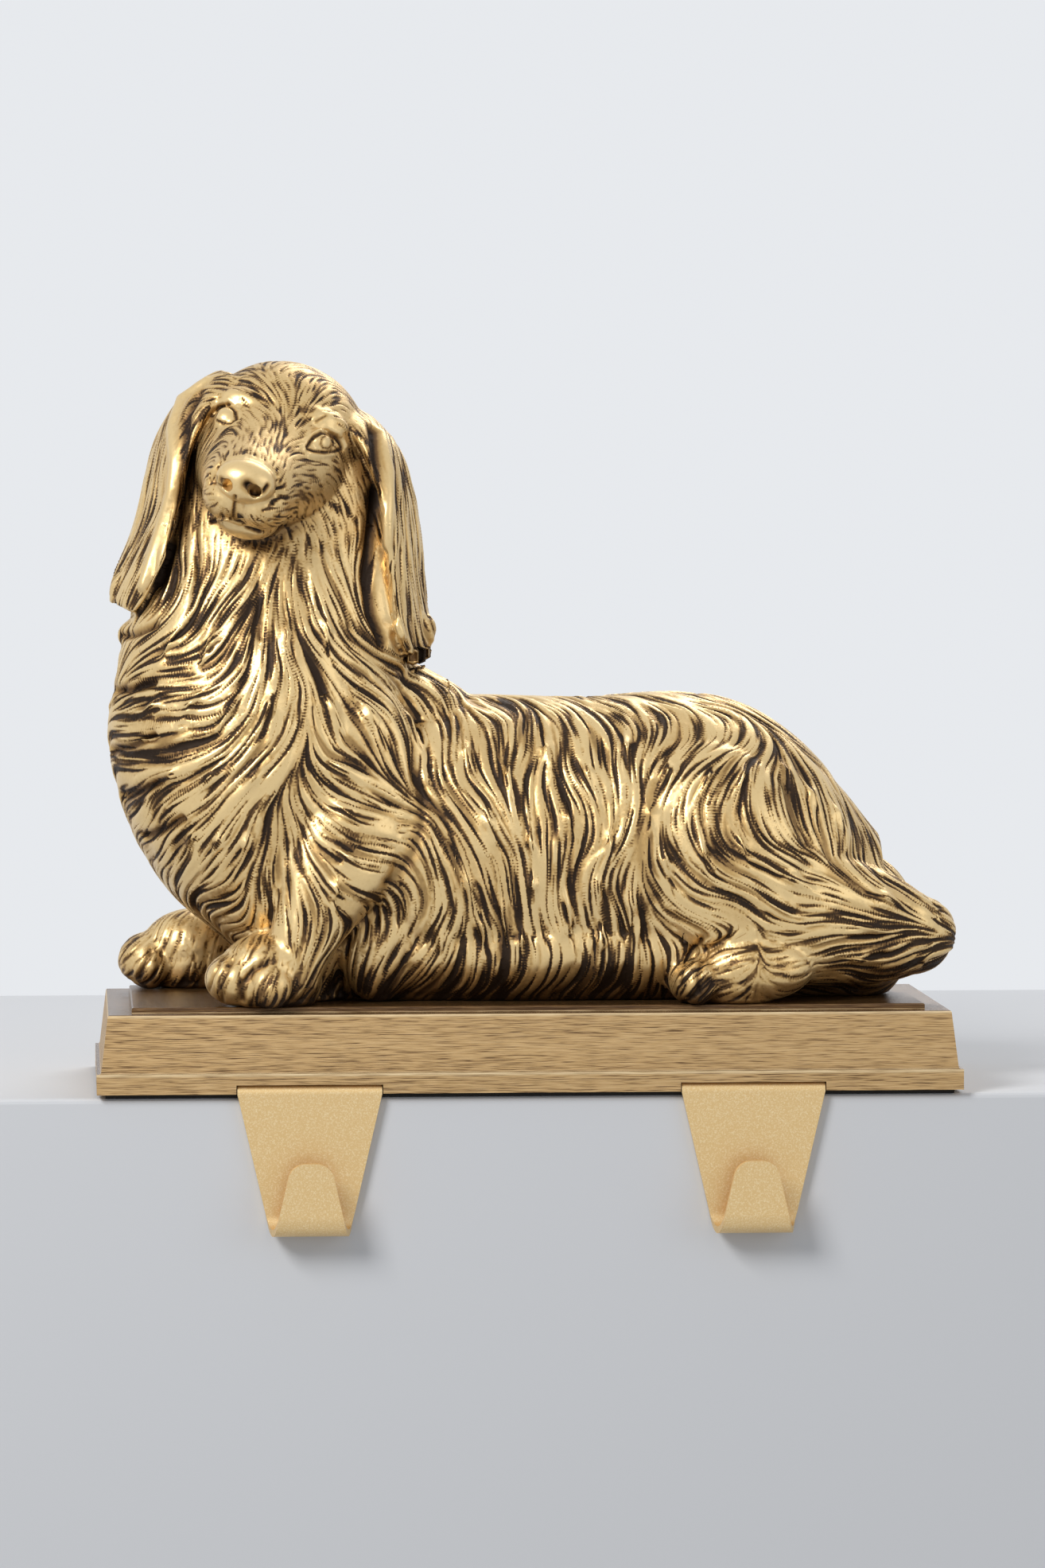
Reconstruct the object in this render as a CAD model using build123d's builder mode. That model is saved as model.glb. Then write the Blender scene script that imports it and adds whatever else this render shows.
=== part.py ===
from build123d import *
from math import atan2, cos, degrees, pi, radians, sin
import os

# Mantel stocking holder: a cast dachshund lying on a moulded plinth that carries two sheet hooks
# +X runs right along the mantel, -Y faces the room and +Z is up
# The origin is the middle of the base pad's underside, where the holder rests on the mantel

# Base pad
pad_thickness = 1.2

# Plinth
plinth_length = 254.0
plinth_depth = 102.0
band_height = 6.0
ledge_width = 1.3
cove_radius = 0.8
slope_height = 17.0
slope_inset = 2.0
rim_width = 7.0
panel_height = 1.6
edge_radius = 0.6

# Hooks, each bent from one strip that narrows evenly along its developed length
hook_spacing = 130.0
sheet_thickness = 2.0
hook_width = 42.2
tongue_length = 45.0
tongue_drop = 0.65
shoulder_radius = 2.8
mouth_gap = 8.0
hook_drop = 40.0
tab_rise = 21.7
narrowing = 0.4636
tab_roundness = 0.456

# Clearances
pad_clearance = 0.5
pocket_clearance = 0.3
screw_clearance = 0.1

# Screws that hold the hooks
hook_screw_spacing = 22.0
hook_screw_length = 15.0
hook_screw_radius = 1.75
hook_screw_head_radius = 3.2

# Screws that hold the figure
figure_screw_spacing = 76.0
figure_screw_length = 26.0
figure_screw_radius = 2.0
figure_screw_head_radius = 4.0
figure_screw_head_height = 2.6
figure_screw_recess = 8.0
figure_screw_recess_radius = 5.0
screw_point_length = 3.0

# Eyes of the figure, and the locks of its coat
eye_radius = 4.4
lid_radius = 0.9
lock_height = 2.2
lock_half_width = 4.2
lock_swell = 0.42
root_sink = 1.2
tip_sink = 0.4

# Levels and outlines that follow from the sizes above
band_top = pad_thickness + band_height
rim_level = band_top + slope_height
panel_top = rim_level + panel_height
slope_angle = degrees(atan2(slope_inset, slope_height))
rim_length = plinth_length - 2 * (ledge_width + slope_inset)
rim_depth = plinth_depth - 2 * (ledge_width + slope_inset)
front_face = -plinth_depth / 2
pocket_ceiling = pad_thickness + tongue_drop + sheet_thickness
tongue_underside = pocket_ceiling - sheet_thickness
tongue_middle = front_face + tongue_length / 2
hook_centres = {"left_hook": -hook_spacing / 2, "right_hook": hook_spacing / 2}
hook_screw_places = [
    (centre + side * hook_screw_spacing / 2, tongue_middle)
    for centre in hook_centres.values()
    for side in (-1, 1)
]
figure_screw_places = [(-figure_screw_spacing / 2, 0), (figure_screw_spacing / 2, 0)]

os.makedirs("parts", exist_ok=True)

# Plinth: bottom band, cove, sloped sides, rim and raised panel
with BuildPart() as plinth:
    with BuildSketch(Plane.XY.offset(pad_thickness)):
        Rectangle(plinth_length, plinth_depth)
    extrude(amount=band_height)
    with BuildSketch(Plane.XY.offset(band_top)):
        Rectangle(plinth_length - 2 * ledge_width, plinth_depth - 2 * ledge_width)
    extrude(amount=slope_height, taper=slope_angle)
    fillet(plinth.edges().filter_by(lambda edge: edge.is_interior), cove_radius)
    with BuildSketch(Plane.XY.offset(rim_level)):
        Rectangle(rim_length - 2 * rim_width, rim_depth - 2 * rim_width)
    extrude(amount=panel_height)
    rim_face = plinth.faces().filter_by_position(Axis.Z, rim_level, rim_level).sort_by(SortBy.AREA)[-1]
    panel_face = plinth.faces().sort_by(Axis.Z)[-1]
    fillet(rim_face.outer_wire().edges() + panel_face.edges(), edge_radius)

    # Pockets under the front edge that take the hook tongues
    with BuildSketch(Plane.XY.offset(pocket_ceiling)):
        with Locations(*[(centre, tongue_middle + pocket_clearance / 2) for centre in hook_centres.values()]):
            Rectangle(hook_width + 2 * pocket_clearance, tongue_length + pocket_clearance)
    extrude(amount=-pocket_ceiling, mode=Mode.SUBTRACT)

    # Pilot holes for the hook screws and recessed holes for the figure screws, bored from below
    with Locations(*[Plane((x, y, pocket_ceiling), z_dir=(0, 0, -1)) for x, y in hook_screw_places]):
        Hole(hook_screw_radius + screw_clearance, hook_screw_length)
    with Locations(*[Plane((x, y, pad_thickness), z_dir=(0, 0, -1)) for x, y in figure_screw_places]):
        CounterBoreHole(
            figure_screw_radius + screw_clearance,
            figure_screw_recess_radius,
            figure_screw_recess,
        )

# Hooks: tongue, rounded shoulder, drop plate, U bend and round-ended tab
bend_start = front_face + shoulder_radius
plate_top = pocket_ceiling - shoulder_radius
mouth_radius = mouth_gap / 2
mouth_level = -hook_drop + sheet_thickness + mouth_radius
tab_top = -hook_drop + tab_rise
plate_end_width = hook_width - narrowing * (plate_top - mouth_level)
tab_start_width = plate_end_width - narrowing * pi * (mouth_radius + sheet_thickness / 2)
tab_end_width = tab_start_width - narrowing * (tab_top - mouth_level)
tab_end_radius = tab_roundness * tab_end_width
bend_half_widths = [hook_width / 2, hook_width / 2, hook_width / 2, plate_end_width / 2, tab_start_width / 2]


def bent_hook(centre):
    """Bend one hook strip about the upright plane x = centre."""
    middle = Plane.YZ.offset(centre)
    with BuildPart() as hook:
        with BuildLine(middle):
            Line((front_face + tongue_length, pocket_ceiling), (bend_start, pocket_ceiling))
            RadiusArc((bend_start, pocket_ceiling), (front_face, plate_top), -shoulder_radius)
            Line((front_face, plate_top), (front_face, mouth_level))
            CenterArc((front_face - mouth_radius, mouth_level), mouth_radius, 0, -180)
        make_brake_formed(sheet_thickness, bend_half_widths, side=Side.RIGHT)
        mirror(about=middle)
        with BuildSketch(Plane.XZ.offset(mouth_gap - front_face)) as tab:
            with BuildLine():
                Polyline(
                    (centre - tab_start_width / 2, mouth_level),
                    (centre + tab_start_width / 2, mouth_level),
                    (centre + tab_end_width / 2, tab_top),
                    (centre - tab_end_width / 2, tab_top),
                    close=True,
                )
            make_face()
            fillet(tab.vertices().group_by(Axis.Y)[-1], tab_end_radius)
        extrude(amount=sheet_thickness)
        tongue_holes = [place for place in hook_screw_places if abs(place[0] - centre) < hook_width / 2]
        with Locations(*[Plane((x, y, tongue_underside), z_dir=(0, 0, -1)) for x, y in tongue_holes]):
            CounterSinkHole(
                hook_screw_radius + screw_clearance,
                hook_screw_head_radius + screw_clearance,
                2 * sheet_thickness,
                counter_sink_angle=90,
            )
    return hook.part


for name, centre in hook_centres.items():
    with BuildPart() as hook:
        add(bent_hook(centre))
    hook.part.label = name
    export_step(hook.part, f"parts/{name}.step")

plinth.part.label = "plinth"
export_step(plinth.part, "parts/plinth.step")

# Base pad: felt under the plinth, kept back all round so that it clears the hook plates
pad_inset = sheet_thickness + pad_clearance
with BuildPart() as base_pad:
    with BuildSketch():
        Rectangle(plinth_length - 2 * pad_inset, plinth_depth - 2 * pad_inset)
    extrude(amount=pad_thickness)
base_pad.part.label = "base_pad"
export_step(base_pad.part, "parts/base_pad.step")

# Hook screws: countersunk heads flush with the underside of the tongue
hook_screw_tip = tongue_underside + hook_screw_length
with BuildPart() as hook_screw:
    with BuildSketch(Plane.XZ):
        with BuildLine():
            Polyline(
                (0, tongue_underside),
                (hook_screw_head_radius, tongue_underside),
                (hook_screw_radius, tongue_underside + hook_screw_head_radius - hook_screw_radius),
                (hook_screw_radius, hook_screw_tip - screw_point_length),
                (0, hook_screw_tip),
                close=True,
            )
        make_face()
    revolve(axis=Axis.Z)
with BuildPart() as hook_screws:
    with Locations(*hook_screw_places):
        add(hook_screw.part)
hook_screws.part.label = "hook_screws"
export_step(hook_screws.part, "parts/hook_screws.step")

# Figure screws: pan heads bearing on the floor of the recess, shanks up into the casting
figure_screw_seat = pad_thickness + figure_screw_recess
figure_screw_tip = figure_screw_seat + figure_screw_length
with BuildPart() as figure_screw:
    with BuildSketch(Plane.XZ):
        with BuildLine():
            Polyline(
                (0, figure_screw_seat - figure_screw_head_height),
                (figure_screw_head_radius, figure_screw_seat - figure_screw_head_height),
                (figure_screw_head_radius, figure_screw_seat),
                (figure_screw_radius, figure_screw_seat),
                (figure_screw_radius, figure_screw_tip - screw_point_length),
                (0, figure_screw_tip),
                close=True,
            )
        make_face()
    revolve(axis=Axis.Z)
with BuildPart() as figure_screws:
    with Locations(*figure_screw_places):
        add(figure_screw.part)
figure_screws.part.label = "figure_screws"
export_step(figure_screws.part, "parts/figure_screws.step")

# Figure: rounded masses of the body, placed from the middle of the panel's top
seat = Plane.XY.offset(panel_top)
along_x = Vector(1, 0, 0)
along_y = Vector(0, 1, 0)
upward = Vector(0, 0, 1)


def square_plane(centre, along, across, frame):
    """A plane in the frame that looks along a direction, with its x axis as near across as it can be."""
    sideways = across - along * across.dot(along)
    return Plane(frame.location * Plane(centre, x_dir=sideways, z_dir=along).location)


def form(spine, half_widths, half_heights, across, frame=seat, along=None):
    """Loft elliptical sections along a spine, the half widths lying along the across direction.

    The sections stand square to the spine, or to one direction along if it is given.
    """
    centres = [Vector(*point) for point in spine]
    before = centres[:1] + centres[:-1]
    after = centres[1:] + centres[-1:]
    sections = []
    for last, centre, following, width, height in zip(before, centres, after, half_widths, half_heights):
        facing = along or (following - last).normalized()
        with BuildSketch(square_plane(centre, facing, across, frame)) as section:
            Ellipse(width, height)
        sections.append(section.sketch)
    with BuildPart() as solid:
        loft(sections)
    return solid.part


def egg(start, end, half_width, half_height, across, frame=seat):
    """An ellipsoid whose long axis runs between two tips."""
    tips = Vector(*start), Vector(*end)
    reach = (tips[1] - tips[0]) / 2
    with BuildPart() as ball:
        Sphere(1)
        scale(by=(half_width, half_height, reach.length))
    return ball.part.moved(square_plane((tips[0] + tips[1]) / 2, reach.normalized(), across, frame).location)


def merged(forms):
    """One solid from forms that overlap."""
    with BuildPart() as whole:
        add(forms, clean=False)
    return whole.part


def paw(heel, toe_middle, half_width, half_height, toe_radius, fan):
    """A foot with four round toes, the fan being the angle between neighbouring toes."""
    base = Vector(*heel)
    reach = Vector(*toe_middle) - base
    toes = [seat.from_local_coords(base + reach.rotate(Axis.Z, fan * place)) for place in (-1.5, -0.5, 0.5, 1.5)]
    with BuildPart() as foot:
        add(egg(base - reach / 2, base + reach, half_width, half_height, along_y))
        with Locations(*toes):
            Sphere(toe_radius)
    return foot.part


# Trunk from the shoulders to the rump
trunk = form(
    [(-66, 0, 42), (-30, 0, 43), (10, 0, 43), (46, 0, 43.5), (66, 0, 41), (82, 0, 37), (96, 0, 30), (108, 0, 23)],
    [35, 39, 39, 40, 39, 36, 30, 22],
    [40, 45.5, 46.5, 47.5, 46.5, 41, 33, 25],
    along_y,
    along=along_x,
)
rump = egg((82, 0, 22), (119, 0, 16), 24, 24, along_y)
belly = form(
    [(-54, 0, 14), (-24, 0, 15), (18, 0, 15), (62, 0, 15)],
    [27, 34, 36, 33],
    [19, 20, 20, 20],
    along_y,
    along=along_x,
)

# Chest and neck up from the plinth to the skull
chest = form(
    [
        (-62, 0, -6),
        (-64, 0, 12),
        (-69, -1, 30),
        (-76, -2, 48),
        (-78, -3, 66),
        (-77.5, -3, 82),
        (-76, -2, 98),
        (-73, 0, 116),
        (-71.5, 3, 134),
        (-71.5, 4, 150),
        (-72, 4, 166),
    ],
    [14, 18, 27, 36, 43.5, 46, 44, 41, 38, 35, 27],
    [24, 30, 36, 40, 41, 39, 36, 31, 27, 25, 20],
    along_x,
)

# Withers, where the neck runs down into the back
withers = egg((-56, 0, 98), (-6, 0, 72), 18, 13, along_y)

# Forelegs and hind legs, near side and far side
near_shoulder = egg((-58, -22, 102), (-50, -32, 26), 24, 14, along_x)
far_shoulder = egg((-58, 22, 102), (-54, 32, 26), 24, 14, along_x)
near_foreleg = form(
    [(-52, -30, 58), (-56, -33, 42), (-64, -36, 24), (-70, -36, 7)],
    [19, 18, 12, 9.5],
    [12, 12.5, 10, 9],
    along_x,
)
near_elbow = egg((-36, -20, 44), (-46, -24, 0), 15, 12, along_x)
far_elbow = egg((-36, 20, 44), (-46, 24, 0), 15, 12, along_x)
far_foreleg = form([(-54, 31, 34), (-74, 35, 22), (-98, 37, 9)], [12, 11, 9], [13, 11, 8], along_y)
near_thigh = egg((44, -24, 76), (74, -31, 10), 27, 16, along_x)
far_thigh = egg((44, 24, 76), (74, 31, 10), 27, 16, along_x)
legs = [near_shoulder, near_foreleg, near_elbow, far_shoulder, far_foreleg, far_elbow, near_thigh, far_thigh]
paws = [
    paw((-69, -30, 8), (-83, -37.5, 6), 13.5, 11.5, 6.6, 24),
    paw((-93, 34, 8), (-111.5, 34, 6), 12, 11, 6.4, 15),
    paw((67, -32, 9), (47.5, -33, 6.5), 12, 12, 6.8, 15),
    paw((67, 32, 9), (47.5, 33, 6.5), 12, 12, 6.8, 15),
]

# Feathering of the near hind leg, drawn back into the tail
tail = form(
    [(62, -26, 26), (84, -26, 25), (104, -21, 21), (119, -16, 17.5)],
    [13, 14, 12, 9],
    [21, 21, 17.5, 12],
    along_y,
)
tail_tip = egg((104, -20, 18.5), (129.5, -12, 18), 9.5, 12.5, along_y)

# Head: a frame at the middle of the skull, x to the dog's left, y up through the crown, z along the muzzle
head_centre = (-72, 2, 162)
head_turn = radians(13)
head_nod = radians(9)
head_tilt = radians(14)
muzzle_way = Vector(-sin(head_turn) * cos(head_nod), -cos(head_turn) * cos(head_nod), -sin(head_nod))
level_left = upward.cross(muzzle_way).normalized()
level_up = muzzle_way.cross(level_left)
head_left = level_left * cos(head_tilt) - level_up * sin(head_tilt)
head = Plane(seat.from_local_coords(Vector(*head_centre)), x_dir=head_left, z_dir=muzzle_way)

cranium = egg((0, 0.5, -27), (0, 0.5, 25), 26.5, 27, along_x, head)
muzzle = form(
    [(0, -2, 6), (0, -2.5, 18), (0, -3, 28), (0, -3.5, 38), (0, -4, 47)],
    [24, 22, 18, 15, 12],
    [22, 20, 15.5, 12.5, 10],
    along_x,
    head,
)
chin = form([(0, -14, 4), (0, -14.5, 20), (0, -15, 32)], [15, 12.5, 9], [9, 7.5, 5.5], along_x, head)
chin_tip = egg((0, -15, 24), (0, -14.6, 43), 9.4, 5.9, along_x, head)
nose = egg((0, -0.5, 43.5), (0, -0.5, 56), 9, 6.4, along_x, head)
features = [cranium, muzzle, chin, chin_tip, nose]
nostrils = []
for side in (-1, 1):
    lip = egg((side * 5, -8.2, 30), (side * 5.4, -7.6, 52), 8, 7, along_x, head)
    cheek = egg((side * 12, -3, -8), (side * 16, -11, 22), 10.5, 13, along_x, head)
    brow = egg((side * 4, 16.5, 17), (side * 21, 13.5, 11), 4.2, 4.2, along_y, head)
    gaze = square_plane((side * 13.6, 9.4, 20.2), Vector(side * 0.42, 0.1, 0.9), along_x, head)
    eye = Sphere(eye_radius).moved(gaze.location)
    lid = Torus(eye_radius - lid_radius / 2, lid_radius).moved(gaze.location)
    nostrils.append(egg((side * 3.2, -2.2, 50), (side * 5, -1.6, 58), 1.7, 1.9, along_x, head))
    features += [lip, cheek, brow, eye, lid]

# Ears: thin leaves that hang from the sides of the skull, flared at the tips
far_ear = form(
    [(-86, 2, 184), (-100, -2, 172), (-106, -4, 155), (-110, -5, 138), (-116, -5.5, 124), (-119, -5.5, 116)],
    [3.6, 3.6, 3.4, 3.2, 3, 2.2],
    [9, 14, 15.5, 16, 15, 10],
    Vector(1, 0.35, 0.2),
)
near_ear = form(
    [(-54, -1, 173), (-42, -5, 163), (-36.5, -7, 146), (-34.5, -7.5, 130), (-32.5, -7.5, 113), (-30.5, -7.5, 102)],
    [3.6, 3.6, 3.4, 3.2, 3, 2.2],
    [9, 14, 15.5, 15, 15, 10],
    Vector(1, -0.4, 0.2),
)

with BuildPart() as body:
    add(merged([trunk, rump, belly, chest, withers, tail, tail_tip] + legs))
    add(merged(features + [far_ear, near_ear]))
    add(paws)


def skin(x, z, side):
    """The outermost point of one side of the body, seen along Y, and the direction out of it there."""
    clear = side * plinth_depth
    sight = Axis((x, clear, panel_top + z), (0, -side, 0))
    return min(body.part.find_intersection_points(sight), key=lambda found: abs(found[0].Y - clear))


def between(first, last, share):
    """The place that lies a share of the way from the first place to the last."""
    return tuple(a + (b - a) * share for a, b in zip(first, last))


def lock(root, tip, side):
    """A pointed lock of hair with a crest, let into one side of the body."""
    (start, out_of_root), (end, out_of_tip) = skin(*root, side), skin(*tip, side)
    middle, outward = skin(*between(root, tip, lock_swell), side)
    sideways = (end - start).cross(outward).normalized() * lock_half_width
    buried = middle - outward * root_sink
    with BuildPart() as tuft:
        ConvexPolyhedron(
            [
                start - out_of_root * root_sink,
                end - out_of_tip * tip_sink,
                middle + outward * lock_height,
                buried + sideways,
                buried - sideways,
            ]
        )
    return tuft.part


# Rows of locks on each side: the root and tip of the first lock and of the last, seen from the front, and how many
lock_rows = [
    ((-20, 84), (-15, 62), (28, 85), (31, 63), 3),
    ((-8, 77), (-3, 55), (40, 78), (43, 56), 3),
    ((-14, 64), (-8, 40), (34, 66), (38, 42), 3),
    ((-2, 58), (4, 34), (22, 58), (26, 34), 2),
    ((-20, 46), (-15, 22), (20, 45), (20, 21), 3),
    ((-10, 38), (-6, 15), (30, 40), (30, 17), 3),
    ((-26, 27), (-25, 7), (22, 26), (21, 6), 3),
    ((-14, 32), (-13, 11), (34, 31), (31, 10), 3),
    ((46, 76), (38, 56), (66, 76), (60, 56), 3),
    ((38, 52), (42, 30), (60, 56), (66, 34), 3),
    ((74, 76), (82, 56), (88, 64), (98, 44), 3),
    ((62, 34), (84, 22), (74, 50), (97, 36), 3),
    ((88, 14), (112, 11), (96, 34), (119, 26), 3),
    ((-100, 114), (-112, 95), (-60, 120), (-58, 98), 5),
    ((-104, 96), (-119, 78), (-72, 98), (-82, 76), 4),
    ((-100, 74), (-114, 58), (-76, 76), (-88, 56), 3),
    ((-96, 56), (-104, 40), (-80, 56), (-88, 36), 3),
    ((-62, 96), (-52, 76), (-38, 92), (-30, 72), 3),
    ((-62, 74), (-42, 62), (-60, 50), (-44, 36), 3),
    ((-70, 50), (-72, 28), (-56, 44), (-58, 24), 2),
]
locks = []
for first_root, first_tip, last_root, last_tip, count in lock_rows:
    for number in range(count):
        share = number / (count - 1)
        for side in (-1, 1):
            locks.append(lock(between(first_root, last_root, share), between(first_tip, last_tip, share), side))

with BuildPart() as figure:
    add(body.part)
    add(locks, clean=False)
    add(nostrils, mode=Mode.SUBTRACT)
    split(bisect_by=seat, keep=Keep.TOP)
    with Locations(*[Plane((x, y, panel_top), z_dir=(0, 0, -1)) for x, y in figure_screw_places]):
        Hole(figure_screw_radius + screw_clearance, figure_screw_length)
figure.part.label = "figure"
export_step(figure.part, "parts/figure.step")
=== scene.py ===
"""Looks of a figural hook holder: a gilt dachshund lying on a plinth with two hooks.

The plinth, hooks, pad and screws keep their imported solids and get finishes. The figure is remodelled
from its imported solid: its masses are blended, its face is cut in, and its coat is combed along strokes.
Lengths are in metres, and those in millimetres say so or are given times MM.
"""

import logging
import math
from dataclasses import dataclass, field
from enum import Enum

import bpy
import numpy as np
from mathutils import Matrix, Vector
from mathutils.bvhtree import BVHTree


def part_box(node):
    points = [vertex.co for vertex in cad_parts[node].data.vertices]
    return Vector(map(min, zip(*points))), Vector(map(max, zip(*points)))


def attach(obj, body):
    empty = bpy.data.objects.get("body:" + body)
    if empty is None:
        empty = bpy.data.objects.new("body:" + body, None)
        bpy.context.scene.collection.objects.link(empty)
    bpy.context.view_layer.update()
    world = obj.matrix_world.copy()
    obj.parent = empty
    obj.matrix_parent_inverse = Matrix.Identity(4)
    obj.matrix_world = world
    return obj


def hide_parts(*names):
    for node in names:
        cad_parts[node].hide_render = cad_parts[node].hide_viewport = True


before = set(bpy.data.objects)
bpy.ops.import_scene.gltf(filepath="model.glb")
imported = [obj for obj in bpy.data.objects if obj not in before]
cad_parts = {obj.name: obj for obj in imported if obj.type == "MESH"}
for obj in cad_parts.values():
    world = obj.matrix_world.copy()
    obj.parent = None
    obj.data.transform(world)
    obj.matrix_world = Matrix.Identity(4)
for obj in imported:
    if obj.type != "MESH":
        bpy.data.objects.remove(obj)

logging.basicConfig(level=logging.INFO, format="%(name)s: %(message)s")
LOG = logging.getLogger("hook_holder")

MM = 0.001
NEVER_ZERO = 1e-20
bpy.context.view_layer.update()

Pixel = tuple[float, float]
Point = tuple[float, float, float]
Colour = tuple[float, float, float]
Span = tuple[float, float]
Socket = bpy.types.NodeSocket


class Side(Enum):
    """Which side of the dog a stroke is laid on."""

    NEAR = 1
    BOTH = 2


@dataclass(frozen=True)
class Stroke:
    """A line drawn over the photograph, in its pixels, that is thrown onto the figure.

    Attributes:
        line: Corners of the line, in the direction in which the hair lies.
        side: Whether the line is also laid, mirrored, on the side turned away.
        width: Half width of the mark that the line leaves, in millimetres.
        depth: Depth of the mark in millimetres; a negative depth raises a fold that is polished bare.
        ink_and_shade: How dark the wash is that stays in the mark; along the ear gaps it is painted shadow.
    """

    line: tuple[Pixel, ...]
    side: Side = Side.BOTH
    width: float = 1.0
    depth: float = 0.0
    ink_and_shade: float = 1.0


# How the hair lies, from the root of each lock to its tip
COAT_STROKES: dict[str, Stroke] = {
    "throat": Stroke(((322, 690), (324, 740), (326, 790), (332, 840), (345, 900))),
    "throat_left": Stroke(((300, 700), (296, 740), (282, 790), (250, 830), (205, 850), (160, 858))),
    "collar_left": Stroke(((262, 720), (245, 770), (205, 805), (165, 830))),
    "chest_left_high": Stroke(((318, 800), (300, 850), (255, 890), (200, 910), (140, 922))),
    "chest_left": Stroke(((332, 850), (318, 900), (273, 940), (215, 962), (150, 975))),
    "chest_left_low": Stroke(((342, 890), (340, 935), (300, 980), (250, 1008), (190, 1025))),
    "breast": Stroke(((380, 880), (382, 920), (368, 962), (335, 1000), (280, 1030), (215, 1060))),
    "brisket": Stroke(((330, 1035), (312, 1080), (285, 1115), (250, 1125))),
    "brisket_left": Stroke(((285, 1025), (262, 1058), (235, 1085), (215, 1090))),
    "throat_right": Stroke(((338, 760), (362, 825), (395, 862), (418, 905), (420, 940))),
    "jaw_to_shoulder": Stroke(((372, 735), (392, 800), (445, 855), (500, 890), (522, 935), (528, 990))),
    "ear_to_withers": Stroke(((430, 730), (452, 800), (495, 838), (538, 870), (566, 905), (574, 950))),
    "shoulder": Stroke(((440, 880), (470, 920), (490, 970), (520, 1010))),
    "arm_parting": Stroke(((376, 950), (376, 1000), (372, 1050), (360, 1100), (348, 1150))),
    "arm_high": Stroke(((395, 915), (425, 955), (468, 985), (518, 1010))),
    "arm": Stroke(((388, 965), (416, 1007), (460, 1030), (522, 1038))),
    "arm_low": Stroke(((381, 1010), (402, 1055), (448, 1086), (500, 1104))),
    "forearm": Stroke(((378, 1040), (388, 1086), (416, 1125), (456, 1146))),
    "foreleg": Stroke(((400, 1100), (404, 1140), (396, 1185), (384, 1225))),
    "foreleg_left": Stroke(((345, 1110), (338, 1150), (322, 1185), (290, 1225))),
    "near_paw": Stroke(((330, 1205), (312, 1225), (300, 1245), (297, 1262))),
    "near_paw_right": Stroke(((354, 1205), (352, 1230), (346, 1262))),
    "far_foreleg": Stroke(((285, 1160), (262, 1180), (245, 1205), (232, 1228))),
    "far_paw": Stroke(((225, 1182), (208, 1205), (198, 1230))),
    "far_paw_tip": Stroke(((185, 1190), (168, 1210), (160, 1230))),
    "elbow_curl": Stroke(((540, 1060), (560, 1105), (572, 1150), (548, 1195), (520, 1230))),
    "flank_first": Stroke(((575, 888), (578, 936), (582, 985), (609, 1037), (640, 1085), (640, 1150))),
    "flank_second": Stroke(
        ((612, 884), (652, 903), (660, 940), (656, 980), (688, 1044), (698, 1100), (688, 1165))
    ),
    "flank_third": Stroke(
        ((670, 879), (718, 893), (730, 922), (727, 960), (750, 1008), (763, 1063), (752, 1150))
    ),
    "flank_fourth": Stroke(
        ((740, 874), (783, 889), (802, 922), (793, 960), (807, 1008), (802, 1063), (792, 1130))
    ),
    "belly_front": Stroke(((600, 1130), (612, 1180), (600, 1235))),
    "belly": Stroke(((690, 1150), (702, 1190), (694, 1235))),
    "belly_back": Stroke(((775, 1130), (782, 1180), (770, 1230))),
    "loin": Stroke(((820, 872), (862, 892), (866, 930), (845, 965), (826, 1000))),
    "haunch": Stroke(((880, 872), (925, 898), (920, 935), (875, 965), (838, 1000), (815, 1050))),
    "thigh_front": Stroke(((832, 990), (812, 1045), (820, 1100), (856, 1138), (920, 1160))),
    "thigh": Stroke(((866, 975), (842, 1035), (850, 1085), (880, 1122), (935, 1140))),
    "thigh_back": Stroke(((915, 960), (890, 1016), (894, 1063), (920, 1102), (970, 1125))),
    "hip": Stroke(((972, 950), (968, 1000), (978, 1060), (1010, 1105), (1060, 1130))),
    "hip_tuft": Stroke(((1000, 945), (1024, 988), (1030, 1044), (1050, 1090), (1090, 1120))),
    "croup": Stroke(((935, 880), (990, 920), (1040, 965), (1066, 1016), (1080, 1070), (1110, 1106))),
    "croup_top": Stroke(((925, 874), (991, 912), (1052, 959), (1095, 1016), (1132, 1082), (1160, 1108))),
    "tail_high": Stroke(((1060, 1085), (1110, 1115), (1150, 1130), (1192, 1155))),
    "tail": Stroke(((925, 1120), (985, 1140), (1050, 1160), (1113, 1180), (1170, 1192))),
    "tail_low": Stroke(((955, 1190), (1020, 1198), (1090, 1206), (1150, 1204), (1185, 1190))),
    "hind_paw": Stroke(((960, 1190), (915, 1195), (875, 1212), (845, 1238))),
    "brow_middle": Stroke(((330, 575), (345, 540), (350, 505), (350, 470))),
    "brow_right": Stroke(((362, 520), (385, 492), (418, 480), (446, 492), (462, 525))),
    "brow_far_right": Stroke(((380, 470), (420, 468), (455, 495), (470, 530))),
    "brow_left": Stroke(((335, 520), (310, 490), (280, 478), (255, 485))),
    "cheek_right": Stroke(((372, 590), (405, 605), (432, 625), (448, 660), (450, 700))),
    "cheek_low": Stroke(((350, 640), (380, 650), (402, 675), (412, 715), (418, 750))),
    "under_eye": Stroke(((388, 575), (412, 585), (440, 596), (458, 630))),
    "muzzle_right": Stroke(((335, 600), (350, 590), (372, 575))),
    "cheek_left": Stroke(((262, 550), (250, 580), (248, 620), (250, 665))),
    "jaw_left": Stroke(((262, 640), (258, 680), (262, 720))),
    "near_ear": Stroke(((488, 545), (505, 620), (515, 700), (532, 800)), Side.NEAR),
    "near_ear_edge": Stroke(((505, 570), (524, 640), (530, 720), (548, 805)), Side.NEAR),
    "far_ear": Stroke(((228, 495), (205, 580), (190, 650), (148, 725)), Side.NEAR),
}

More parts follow.
